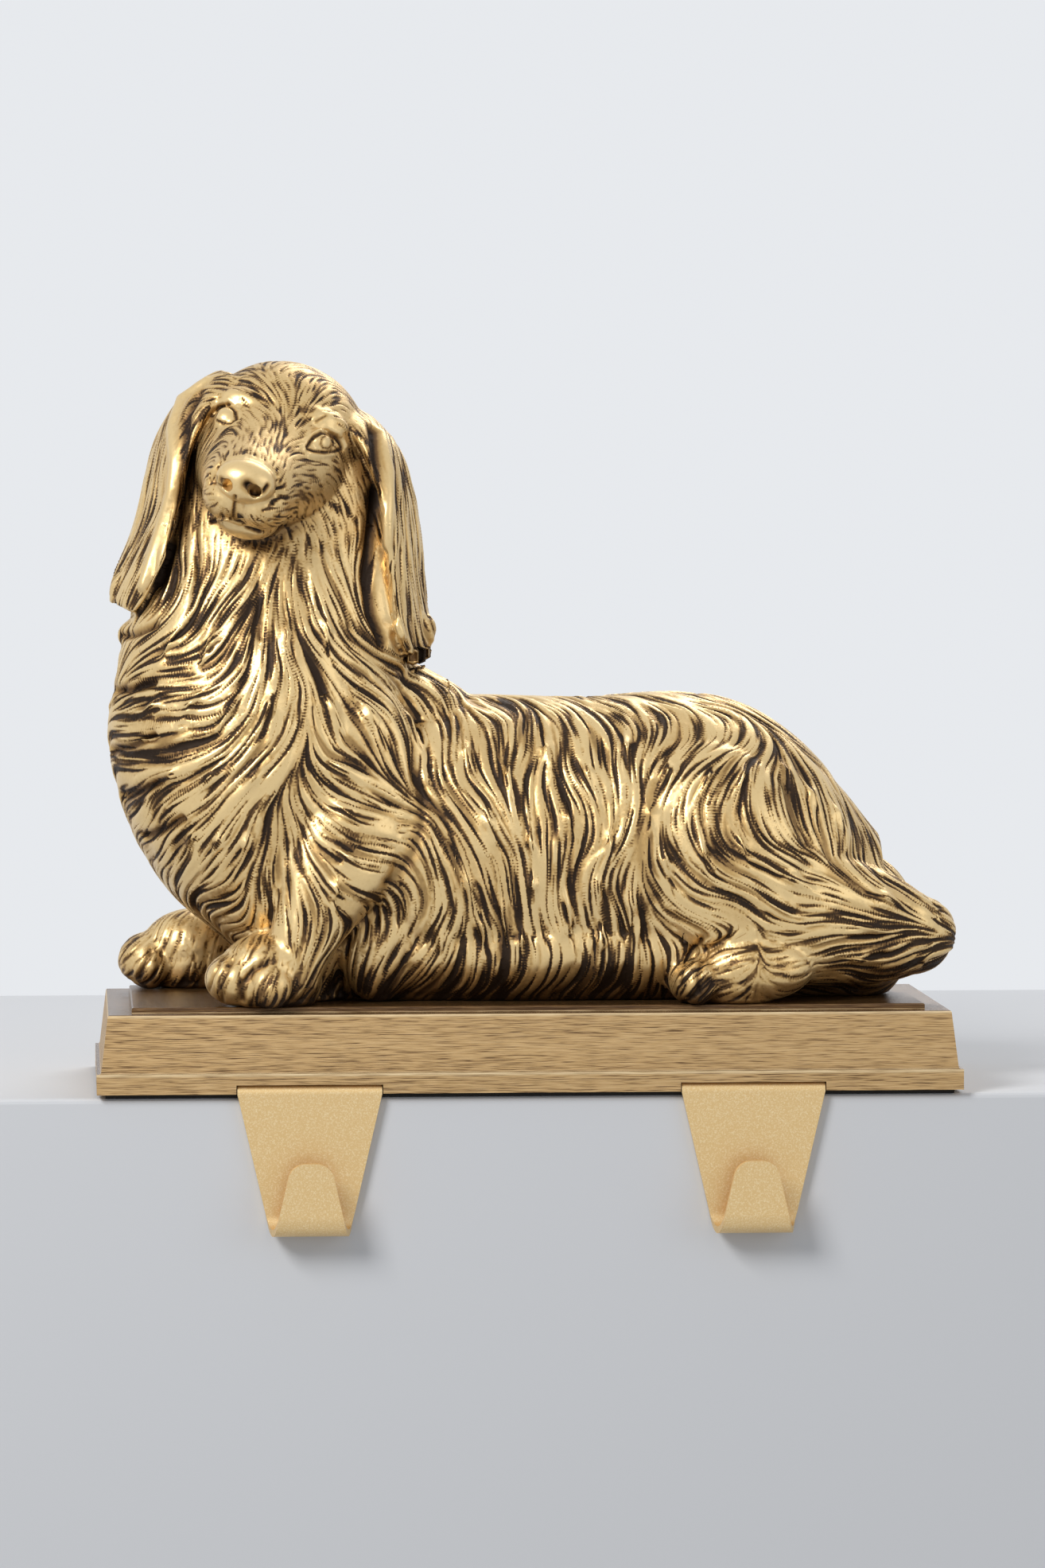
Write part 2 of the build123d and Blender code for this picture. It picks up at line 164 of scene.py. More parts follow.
# Hair on the side turned away, from crown to withers and along both ears, in millimetres above the plinth
BACK_STROKES: dict[str, tuple[Point, ...]] = {
    "crown": ((-72, -4, 189), (-70, 16, 184), (-68, 28, 168), (-67, 31, 145), (-62, 33, 118), (-50, 34, 98)),
    "nape_left": ((-92, 14, 176), (-94, 22, 158), (-94, 26, 135), (-98, 28, 112), (-102, 30, 90)),
    "nape_right": ((-52, 14, 172), (-46, 20, 152), (-40, 22, 130), (-34, 24, 108), (-24, 26, 92)),
    "near_ear_back": ((-48, 6, 168), (-38, 2, 150), (-34, 1, 128), (-30, 0, 106)),
    "far_ear_back": ((-94, 8, 178), (-104, 4, 156), (-110, 2, 134), (-117, 1, 120)),
    "spine": ((-28, 0, 92), (0, 0, 89), (30, 0, 90), (58, 0, 90), (82, 0, 78), (102, 0, 55)),
}

# Lines cut into the face and between the masses of the body, and folds raised beside them
CUT_STROKES: dict[str, Stroke] = {
    "mouth": Stroke(((266, 655), (280, 652), (294, 653), (312, 663), (328, 670)), Side.NEAR, 0.6, 1.2),
    "philtrum": Stroke(((296, 624), (295, 640), (293, 652)), Side.NEAR, 0.5, 0.6, 0.7),
    "near_nostril": Stroke(((311, 610), (315, 614)), Side.NEAR, 1.5, 1.8),
    "near_nostril_wing": Stroke(((315, 619), (324, 621), (332, 618), (337, 611)), Side.NEAR, 0.7, 1.1),
    "far_nostril": Stroke(((277, 604), (280, 606)), Side.NEAR, 1.0, 1.2, 0.9),
    "far_nostril_wing": Stroke(((272, 600), (271, 607), (277, 611), (285, 610)), Side.NEAR, 0.5, 0.7, 0.6),
    "near_eye_over": Stroke(
        ((385, 563), (389, 556), (395, 549), (404, 544), (413, 545), (421, 550), (427, 557), (430, 564)),
        Side.NEAR,
        0.5,
        0.9,
    ),
    "near_eye_under": Stroke(
        ((385, 563), (395, 567), (408, 569), (420, 568), (430, 564)), Side.NEAR, 0.42, 0.6
    ),
    "near_iris": Stroke(
        ((403, 558), (405, 550), (412, 547), (419, 551), (419, 559), (413, 564), (406, 563), (403, 558)),
        Side.NEAR,
        0.32,
        0.3,
        0.7,
    ),
    "near_lid": Stroke(((382, 563), (394, 546), (410, 536), (426, 544), (435, 560)), Side.NEAR, 0.9, -0.7),
    "near_lower_lid": Stroke(((388, 572), (404, 573), (420, 571)), Side.NEAR, 0.8, -0.5),
    "near_brow_fold": Stroke(((398, 530), (410, 522)), Side.NEAR, 0.45, 0.4, 0.5),
    "far_eye_over": Stroke(((270, 524), (276, 512), (288, 509), (296, 517), (297, 527)), Side.NEAR, 0.5, 0.7),
    "far_eye_under": Stroke(((272, 528), (280, 532), (290, 532), (296, 527)), Side.NEAR, 0.4, 0.5),
    "far_lid": Stroke(((266, 521), (273, 507), (287, 502), (299, 511)), Side.NEAR, 0.8, -0.5),
    "near_ear_rim": Stroke(
        ((481, 545), (491, 591), (491, 634), (485, 680), (481, 726), (489, 772), (503, 798)),
        Side.NEAR,
        2.0,
        -1.0,
    ),
    # A deep cut between the cheek and the near ear, whose dark is painted shadow
    "near_ear_gap": Stroke(
        ((470, 540), (474, 580), (472, 630), (466, 680), (462, 726), (468, 772), (482, 806)),
        Side.NEAR,
        1.9,
        2.0,
        0.95,
    ),
    "far_ear_rim": Stroke(
        ((258, 478), (226, 500), (214, 536), (217, 579), (214, 616), (203, 653), (190, 696), (178, 734)),
        Side.NEAR,
        1.8,
        -0.9,
    ),
    # A cut along the inside of the far ear, darkened with painted shade
    "far_ear_hollow": Stroke(
        ((248, 496), (233, 524), (231, 565), (231, 605), (225, 645), (214, 690), (202, 730)),
        Side.NEAR,
        2.0,
        1.8,
        0.6,
    ),
    "near_toe_first": Stroke(((338, 1209), (318, 1220), (306, 1236), (304, 1258)), Side.NEAR, 0.9, 1.1, 0.45),
    "near_toe_second": Stroke(((292, 1207), (282, 1226), (276, 1242), (279, 1260)), Side.NEAR, 0.8, 0.9, 0.4),
    "near_toe_third": Stroke(((275, 1212), (266, 1228), (262, 1246)), Side.NEAR, 0.7, 0.7, 0.35),
    "far_toe": Stroke(((190, 1196), (178, 1212), (172, 1232)), Side.NEAR, 0.8, 0.8, 0.35),
    "hind_toe_first": Stroke(((915, 1180), (888, 1196), (878, 1222), (880, 1252)), Side.BOTH, 0.9, 1.1, 0.45),
    "hind_toe_second": Stroke(((880, 1184), (860, 1208), (852, 1236)), Side.BOTH, 0.8, 0.8, 0.4),
    "elbow": Stroke(((532, 990), (530, 1035), (518, 1075), (490, 1110)), Side.BOTH, 2.2, 1.1, 0.35),
    "thigh_line": Stroke(((826, 985), (810, 1030), (806, 1080), (822, 1130)), Side.BOTH, 2.0, 0.8, 0.25),
    "ruff_step_first": Stroke(((136, 868), (160, 866), (190, 858)), Side.BOTH, 1.4, 2.4, 0.6),
    "ruff_step_second": Stroke(((132, 945), (155, 940), (190, 925)), Side.BOTH, 1.4, 2.2, 0.6),
    "ruff_step_third": Stroke(((150, 1002), (175, 996), (205, 980)), Side.BOTH, 1.4, 2.2, 0.6),
    "ruff_step_fourth": Stroke(((180, 1052), (200, 1046), (228, 1030)), Side.BOTH, 1.3, 2.0, 0.6),
    "ruff_step_fifth": Stroke(((140, 800), (165, 798), (195, 785)), Side.BOTH, 1.2, 1.8, 0.5),
    "throat_line": Stroke(((324, 735), (325, 765), (327, 800)), Side.NEAR, 1.2, 0.8, 0.5),
}

# Pricks that the whiskers leave on the lips
WHISKER_PRICKS: tuple[Pixel, ...] = ((344, 633), (331, 642), (339, 655), (346, 663), (352, 648), (325, 655))

# Places left smooth, each a pixel and a radius in millimetres
BARE_SPOTS: dict[str, tuple[Pixel, float]] = {
    "nose": ((304, 603), 10.5),
    "near_eye": ((411, 556), 5.0),
    "far_eye": ((284, 520), 4.2),
    "near_brow": ((408, 530), 3.4),
    "far_brow": ((290, 500), 3.0),
    "chin": ((300, 668), 6.0),
}


@dataclass
class PhotoView:
    """The photograph's camera, found from the plinth and the hooks.

    Attributes:
        image_width: The photograph's width in pixels.
        image_height: Its height in pixels.
        focal_pixels: Focal length in pixels.
        distance: How far the camera stands from its target.
        azimuth: How far it stands to the right of straight ahead.
        elevation: How far it stands above the target.
        target: What the middle of the picture shows.
        sensor: Longer side of the sensor, in millimetres.
        far_end: How far the camera sees.
    """

    image_width: float = 1314.0
    image_height: float = 1971.0
    focal_pixels: float = 8180.0
    distance: float = 1.947
    azimuth: float = math.radians(-3.97)
    elevation: float = math.radians(2.97)
    target: Vector = field(default_factory=lambda: Vector((0.00065, 0.0, 0.0888)))
    sensor: float = 36.0
    far_end: float = 50.0

    @property
    def back(self) -> Vector:
        """Direction from the target to the camera.

        Returns:
            A unit vector.
        """
        flat = math.cos(self.elevation)
        across, ahead = math.sin(self.azimuth) * flat, -math.cos(self.azimuth) * flat
        return Vector((across, ahead, math.sin(self.elevation)))

    @property
    def place(self) -> Vector:
        """Where the camera stands."""
        return self.target + self.back * self.distance

    def ray(self, pixel: Pixel) -> Vector:
        """Direction in which the camera sees a pixel.

        Args:
            pixel: Column and row in the photograph.

        Returns:
            A unit vector.
        """
        ahead = -self.back
        right = ahead.cross(Vector((0, 0, 1))).normalized()
        up = right.cross(ahead)
        across = (pixel[0] - self.image_width / 2) / self.focal_pixels
        down = (pixel[1] - self.image_height / 2) / self.focal_pixels
        return (ahead + right * across - up * down).normalized()

    def build(self) -> bpy.types.Object:
        """Make the camera and hand it to the scene.

        Returns:
            The camera.
        """
        data = bpy.data.cameras.new("photo_camera")
        data.sensor_width = self.sensor
        data.lens = self.focal_pixels / self.image_height * self.sensor
        data.clip_end = self.far_end
        camera = bpy.data.objects.new("photo_camera", data)
        camera.location = self.place
        camera.rotation_euler = (-self.back).to_track_quat("-Z", "Y").to_euler()
        bpy.context.scene.collection.objects.link(camera)
        bpy.context.scene.camera = camera
        return camera


@dataclass(frozen=True)
class Finish:
    """A material with one colour all over.

    Attributes:
        name: The material's name.
        colour: Base colour, linear.
        metallic: Share of metal.
        roughness: Roughness of the surface.
    """

    name: str
    colour: Colour
    metallic: float = 0.0
    roughness: float = 0.5

    def material(self) -> bpy.types.Material:
        """Make the material with its constant values on the shader.

        Returns:
            The material.
        """
        made = bpy.data.materials.new(self.name)
        made.use_nodes = True
        shader = made.node_tree.nodes["Principled BSDF"]
        shader.inputs["Base Color"].default_value = (*self.colour, 1.0)
        shader.inputs["Metallic"].default_value = self.metallic
        shader.inputs["Roughness"].default_value = self.roughness
        return made


class Easing(Enum):
    """How a mapped value runs between the ends of its range."""

    STRAIGHT = "LINEAR"
    SOFT = "SMOOTHSTEP"


class Working(Enum):
    """How a number in a material is worked out from others."""

    SUM = "ADD"
    SHARE_AND_SUM = "MULTIPLY_ADD"
    LARGER = "MAXIMUM"


class NodeBench:
    """A small helper that adds and joins shader nodes in one material."""

    def __init__(self, material: bpy.types.Material) -> None:
        """Take over the material's node tree."""
        self.tree = material.node_tree
        self.shader = self.tree.nodes["Principled BSDF"]

    def add(self, kind: str, **settings: object) -> bpy.types.Node:
        """Add a node and set its properties and sockets.

        Args:
            kind: The node's type name.
            **settings: Properties by name, or input values under the key inputs.

        Returns:
            The new node.
        """
        node = self.tree.nodes.new(kind)
        for name, value in settings.pop("inputs", {}).items():
            node.inputs[name].default_value = value
        for name, value in settings.items():
            setattr(node, name, value)
        return node

    def join(self, source: Socket, target: Socket) -> None:
        """Link one socket to another."""
        self.tree.links.new(source, target)

    def feed(self, source: Socket, name: str) -> None:
        """Link a socket to one of the shader's own."""
        self.join(source, self.shader.inputs[name])

    def stored(self, name: str) -> Socket:
        """A number that the mesh carries at each of its points."""
        return self.add("ShaderNodeAttribute", attribute_name=name).outputs["Fac"]

    def place(self) -> Socket:
        """Places in the object's own coordinates."""
        return self.add("ShaderNodeTexCoord").outputs["Object"]

    def upright(self, vector: Socket) -> Socket:
        """The Z part of a vector.

        Args:
            vector: The vector's socket.

        Returns:
            The number's socket.
        """
        split = self.add("ShaderNodeSeparateXYZ")
        self.join(vector, split.inputs[0])
        return split.outputs["Z"]

    def ramp(self, source: Socket, places: tuple[float, ...], colours: tuple[Colour, ...]) -> Socket:
        """Colour a value by stops.

        Args:
            source: The value, from 0 to 1.
            places: Places of the stops, in rising order.
            colours: Their colours.

        Returns:
            The colour socket.
        """
        node = self.add("ShaderNodeValToRGB")
        elements = node.color_ramp.elements
        while len(elements) < len(places):
            elements.new(1.0)
        for element, place, colour in zip(elements, places, colours):
            element.position = place
            element.color = (*colour, 1.0)
        self.join(source, node.inputs["Fac"])
        return node.outputs["Color"]

    def remap(self, source: Socket, limits: dict[str, float], easing: Easing = Easing.STRAIGHT) -> Socket:
        """Map a value from one range onto another, both from 0 to 1 unless they are given.

        Args:
            source: The value.
            limits: Ends of the two ranges, by the node's own names for them.
            easing: How the value runs between the ends.

        Returns:
            The mapped value's socket.
        """
        node = self.add("ShaderNodeMapRange", interpolation_type=easing.value, inputs=limits)
        self.join(source, node.inputs["Value"])
        return node.outputs["Result"]

    def work(self, working: Working, *terms: Socket | float) -> Socket:
        """Work out a number from others.

        Args:
            working: How.
            *terms: The terms in their order, each a socket or a plain number.

        Returns:
            The result's socket.
        """
        node = self.add("ShaderNodeMath", operation=working.value)
        for term, target in zip(terms, node.inputs):
            if isinstance(term, float):
                target.default_value = term
            else:
                self.join(term, target)
        return node.outputs[0]

    def grain(self, size: Point, detail: float, shift: Point = (0, 0, 0)) -> Socket:
        """Noise on the object's own coordinates.

        Args:
            size: Noise scale along X, Y and Z, in periods per metre.
            detail: Octaves of the noise.
            shift: Offset of the pattern, in periods.

        Returns:
            The noise value socket.
        """
        mapping = self.add("ShaderNodeMapping", inputs={"Scale": size, "Location": shift})
        noise = self.add("ShaderNodeTexNoise", inputs={"Scale": 1.0, "Detail": detail})
        self.join(self.place(), mapping.inputs["Vector"])
        self.join(mapping.outputs["Vector"], noise.inputs["Vector"])
        return noise.outputs["Fac"]

    def mix(self, share: Socket, first: Socket, second: Socket) -> Socket:
        """Mix two colours.

        Args:
            share: Share of the second colour.
            first: The colour at a share of nothing.
            second: The colour at a share of one.

        Returns:
            The mixed colour's socket.
        """
        node = self.add("ShaderNodeMix", data_type="RGBA")
        self.join(share, node.inputs["Factor"])
        self.join(first, node.inputs[6])
        self.join(second, node.inputs[7])
        return node.outputs[2]

    def bump(self, height: Socket, distance: float, strength: float) -> None:
        """Raise the surface's shading by a height.

        Args:
            height: The height, from 0 to 1.
            distance: How far a height of one stands out, in metres.
            strength: Share of the effect.
        """
        node = self.add("ShaderNodeBump", inputs={"Distance": distance, "Strength": strength})
        self.join(height, node.inputs["Height"])
        self.feed(node.outputs["Normal"], "Normal")


@dataclass(frozen=True)
class AntiqueGold:
    """Cast gilt: bright on the ridges, dark wash left in the grooves, and painted shade in the hollows and
    near the plinth.

    Attributes:
        name: The material's name.
        wash_and_shade: Colour of the wash and of the painted shade where they lie thickest.
        umber: Colour of thin wash and of light painted shade.
        gold: Colour of the gilt.
        crest: Colour of the gilt where it is rubbed bright.
        stops: How much wash and painted shade shows each of these colours, from the crest down.
        metallic: Share of metal.
        gloss: Roughness where neither wash nor painted shade lies, and where they lie thickest.
        ridge: Height of the finest hair, in spreads of its streak, above which no wash stays.
        floor: Height below which the wash lies thickest.
        tint: How dark the wash is in the finest grooves.
        speck: Scale of the specks in the cast skin.
        speck_detail: Octaves of the specks.
        speck_share: How far the specks shift the wash.
        speck_height: How far the specks stand out.
        speck_relief: Share of that relief.
    """

    name: str = "antique_gold"
    wash_and_shade: Colour = (0.024, 0.0115, 0.004)
    umber: Colour = (0.17, 0.088, 0.028)
    gold: Colour = (0.60, 0.385, 0.145)
    crest: Colour = (0.82, 0.60, 0.29)
    stops: tuple[float, ...] = (0.06, 0.24, 0.54, 0.90)
    metallic: float = 0.62
    gloss: Span = (0.33, 0.62)
    ridge: float = 0.35
    floor: float = -1.25
    tint: float = 0.80
    speck: Point = (900, 900, 900)
    speck_detail: float = 2.0
    speck_share: float = 0.12
    speck_height: float = 0.06 * MM
    speck_relief: float = 0.5

    def material(self) -> bpy.types.Material:
        """Make the gilt, coloured by the figure's wash and painted shade and by its finest hair.

        Returns:
            The material.
        """
        made = Finish(self.name, self.gold, self.metallic).material()
        bench = NodeBench(made)
        limits = {"From Min": self.ridge, "From Max": self.floor, "To Max": self.tint}
        lines = bench.remap(bench.stored("hair"), limits, Easing.SOFT)
        # Wash in the grooves together with the painted shade stored on the figure
        wash_and_shade = bench.work(Working.SUM, bench.stored("wash_and_shade"), lines)
        speck = bench.grain(self.speck, self.speck_detail)
        mottled = bench.work(Working.SHARE_AND_SUM, speck, self.speck_share, wash_and_shade)
        colours = (self.crest, self.gold, self.umber, self.wash_and_shade)
        bench.feed(bench.ramp(mottled, self.stops, colours), "Base Color")
        bench.feed(bench.remap(wash_and_shade, {"To Min": self.gloss[0], "To Max": self.gloss[1]}), "Roughness")
        bench.bump(speck, self.speck_height, self.speck_relief)
        return made


@dataclass(frozen=True)
class GiltWood:
    """Gold paint over open-grained wood, with painted highlights along its upper edges and a dark lacquered
    top.

    Attributes:
        name: The material's name.
        paint: Colour of the paint on the sides.
        pale: Colour of the paint where it lies thin.
        pore: Colour of the open grain.
        stops: Where the grain shows pore, paint and pale paint.
        edge_highlight: Colour of the painted highlight on the edges.
        edge_highlight_stops: Where the grain shows pale paint and painted highlight on the edges.
        lacquer: Colour of the lacquer on the top.
        glaze: Colour of the lacquer where it lies thin.
        top_stops: Where the grain shows lacquer and glaze.
        metallic: Share of metal.
        gloss: Roughness of the paint and of the lacquer.
        height: Height that the edges are measured on.
        edges: Heights of the edges that take the painted highlight.
        edge_width: How far the painted highlight reaches to each side of an edge.
        edge_highlight_share: Share of painted highlight on an edge.
        upward: How far faces look up that take some lacquer, and that take nothing else.
        streak: Scale of the open grain, which runs along the plinth.
        streak_detail: Octaves of the grain.
        band: Scale of the broad bands in the wood.
        band_detail: Octaves of the bands.
        band_shift: Offset of the bands.
        band_share: How far the bands shift the grain.
        relief: How far the grain stands out.
        relief_share: Share of that relief.
    """

    name: str = "gilt_wood"
    paint: Colour = (0.52, 0.325, 0.135)
    pale: Colour = (0.66, 0.45, 0.22)
    pore: Colour = (0.12, 0.062, 0.024)
    stops: tuple[float, ...] = (0.42, 0.54, 0.78)
    edge_highlight: Colour = (0.90, 0.72, 0.44)
    edge_highlight_stops: Span = (0.30, 0.60)
    lacquer: Colour = (0.085, 0.040, 0.016)
    glaze: Colour = (0.30, 0.17, 0.065)
    top_stops: Span = (0.35, 0.75)
    metallic: float = 0.55
    gloss: Span = (0.42, 0.16)
    height: float = 27 * MM
    edges: tuple[float, ...] = (6.9 * MM, 23.9 * MM)
    edge_width: float = 0.8 * MM
    edge_highlight_share: float = 0.85
    upward: Span = (0.6, 0.9)
    streak: Point = (130, 6500, 6500)
    streak_detail: float = 2.0
    band: Point = (6, 90, 160)
    band_detail: float = 1.0
    band_shift: Point = (3.0, 1.0, 2.0)
    band_share: float = 0.14
    relief: float = 0.25 * MM
    relief_share: float = 0.6

    def material(self) -> bpy.types.Material:
        """Make the painted wood.

        Returns:
            The material.
        """
        made = Finish(self.name, self.paint, self.metallic, self.gloss[0]).material()
        bench = NodeBench(made)
        streaks = bench.grain(self.streak, self.streak_detail)
        bands = bench.grain(self.band, self.band_detail, self.band_shift)
        figured = bench.work(Working.SHARE_AND_SUM, bands, self.band_share, streaks)
        side = bench.ramp(figured, self.stops, (self.pore, self.paint, self.pale))
        # Painted highlight along the upper edges of the band and the sloped sides
        highlighted = bench.ramp(streaks, self.edge_highlight_stops, (self.pale, self.edge_highlight))
        side = bench.mix(self.painted_edge_highlight(bench), side, highlighted)
        top = bench.ramp(streaks, self.top_stops, (self.lacquer, self.glaze))
        lacquered = self.lacquered(bench)
        bench.feed(bench.mix(lacquered, side, top), "Base Color")
        bench.feed(bench.remap(lacquered, {"To Min": self.gloss[0], "To Max": self.gloss[1]}), "Roughness")
        bench.bump(streaks, self.relief, self.relief_share)
        return made

    def lacquered(self, bench: NodeBench) -> Socket:
        """Share of lacquer: all of it on faces that look up and on the raised panel.

        Args:
            bench: The material's bench.

        Returns:
            The share's socket.
        """
        facing = bench.add("ShaderNodeNewGeometry").outputs["Normal"]
        limits = {"From Min": self.upward[0], "From Max": self.upward[1]}
        upward = bench.remap(bench.upright(facing), limits)
        panel_foot = self.edges[-1] + self.edge_width / 2
        limits = {"From Min": panel_foot, "From Max": panel_foot + self.edge_width / 4}
        raised = bench.remap(bench.upright(bench.place()), limits)
        return bench.work(Working.LARGER, upward, raised)

    def painted_edge_highlight(self, bench: NodeBench) -> Socket:
        """Share of painted highlight, which follows the upper edges of the band and of the sloped sides.

        Args:
            bench: The material's bench.

        Returns:
            The share's socket.
        """
        level = bench.remap(bench.upright(bench.place()), {"From Max": self.height})
        places: list[float] = []
        shares: list[Colour] = []
        for edge in self.edges:
            for offset, share in ((-self.edge_width, 0.0), (0.0, self.edge_highlight_share), (self.edge_width, 0.0)):
                places.append((edge + offset) / self.height)
                shares.append((share, share, share))
        return bench.ramp(level, tuple(places), tuple(shares))


@dataclass(frozen=True)
class GoldPaint:
    """Satin gold paint with fine flakes, on the hooks.

    Attributes:
        name: The material's name.
        colour: Colour of the paint.
        flake: Colour of the flakes.
        stops: Where the pattern shows paint and flakes.
        metallic: Share of metal.
        roughness: Roughness of the paint.
        flakes: Scale of the flakes.
        flakes_detail: Octaves of the flakes.
        relief: How far the flakes stand out.
        relief_share: Share of that relief.
    """

    name: str = "gold_paint"
    colour: Colour = (0.78, 0.54, 0.245)
    flake: Colour = (0.92, 0.74, 0.44)
    stops: Span = (0.45, 0.85)
    metallic: float = 0.6
    roughness: float = 0.42
    flakes: Point = (2600, 2600, 2600)
    flakes_detail: float = 1.0
    relief: float = 0.04 * MM
    relief_share: float = 0.35

    def material(self) -> bpy.types.Material:
        """Make the flaked paint.

        Returns:
            The material.
        """
        made = Finish(self.name, self.colour, self.metallic, self.roughness).material()
        bench = NodeBench(made)
        flakes = bench.grain(self.flakes, self.flakes_detail)
        bench.feed(bench.ramp(flakes, self.stops, (self.colour, self.flake)), "Base Color")
        bench.bump(flakes, self.relief, self.relief_share)
        return made


@dataclass(frozen=True)
class Felt:
    """Black felt under the plinth.

    Attributes:
        name: The material's name.
        colour: Colour of the felt.
        roughness: Roughness of the felt.
        nap: Scale of the nap.
        nap_detail: Octaves of the nap.
        relief: How far the nap stands out.
        relief_share: Share of that relief.
    """

    name: str = "felt"
    colour: Colour = (0.012, 0.011, 0.010)
    roughness: float = 0.95
    nap: Point = (1500, 1500, 1500)
    nap_detail: float = 3.0
    relief: float = 0.4 * MM
    relief_share: float = 0.7

    def material(self) -> bpy.types.Material:
        """Make the felt.

        Returns:
            The material.
        """
        made = Finish(self.name, self.colour, roughness=self.roughness).material()
        bench = NodeBench(made)
        bench.bump(bench.grain(self.nap, self.nap_detail), self.relief, self.relief_share)
        return made


class Lattice:
    """Values on a regular grid, read smoothly between its points; the grid repeats past its ends."""

    def __init__(self, values: np.ndarray, origin: np.ndarray, pitch: float) -> None:
        """Keep the grid.

        Args:
            values: The values, with a fourth axis where each is a vector.
            origin: Where the first value lies.
            pitch: Distance between two points of the grid.
        """
        self.values = values
        self.origin = origin
        self.pitch = pitch
        self.flat = np.ascontiguousarray(values.reshape(-1, *values.shape[3:]))
        self.strides = (values.shape[1] * values.shape[2], values.shape[2], 1)

    def read(self, points: np.ndarray) -> np.ndarray:
        """Values at points, by linear interpolation.

        Args:
            points: One row per point.

        Returns:
            One row, or one number, per point.
        """
        places = ((points - self.origin) / self.pitch).astype(np.float32)
        corner = np.floor(places)
        share = places - corner
        rows = []
        for axis, (size, stride) in enumerate(zip(self.values.shape, self.strides)):
            lower = corner[:, axis].astype(np.int32) % size
            rows.append((lower * stride, (lower + 1) % size * stride))
        total: np.ndarray | float = 0.0
        for step in np.ndindex(2, 2, 2):
            sides = [share[:, axis] if step[axis] else 1 - share[:, axis] for axis in range(3)]
            weight = sides[0] * sides[1] * sides[2]
            picked = self.flat.take(rows[0][step[0]] + rows[1][step[1]] + rows[2][step[2]], axis=0)
            total = total + (picked * weight[:, None] if picked.ndim == 2 else picked * weight)
        return total


@dataclass(frozen=True)
class Hair:
    """One kind of streak in the coat, in metres.

    Attributes:
        size: Width of a streak.
        reach: Length of a streak to each side of its middle.
        gate: How far below the middle of its spread the noise lies where a groove begins.
        depth: Depth of the groove.
        tint: How dark the wash is that pools in the groove.
        fade: Over how much of its spread the noise falls to the groove's floor.
        crown: Share of the depth that rounds the ridges.
    """

    size: float
    reach: float
    gate: float
    depth: float
    tint: float = 0.0
    fade: float = 1.1
    crown: float = 0.35

    def groove(self, streak: np.ndarray) -> np.ndarray:
        """How far each value of the streak lies into a groove, from nothing to one."""
        share = np.clip((-streak - self.gate) / self.fade, 0, 1)
        return share * share * (3 - 2 * share)

    def profile(self, streak: np.ndarray) -> np.ndarray:
        """Depth for each value of the streak: a round ridge that falls into a narrow groove."""
        ridge = 0.5 - 0.5 * np.tanh(streak)
        return self.depth * (self.crown * ridge + (1 - self.crown) * self.groove(streak))


class VertexValue(Enum):
    """What is read from the vertices of a mesh."""

    PLACE = "co"
    NORMAL = "normal"


def read_vertices(piece: bpy.types.Object, value: VertexValue) -> np.ndarray:
    """Read the places or the normals of a piece's vertices.

    Args:
        piece: The piece.
        value: What is read.

    Returns:
        One row per vertex.
    """
    found = np.empty(len(piece.data.vertices) * 3)
    piece.data.vertices.foreach_get(value.value, found)
    return found.reshape(-1, 3)


def select_only(piece: bpy.types.Object) -> None:
    """Select one object alone and make it active.

    Args:
        piece: The object.
    """
    bpy.ops.object.select_all(action="DESELECT")
    piece.select_set(True)
    bpy.context.view_layer.objects.active = piece


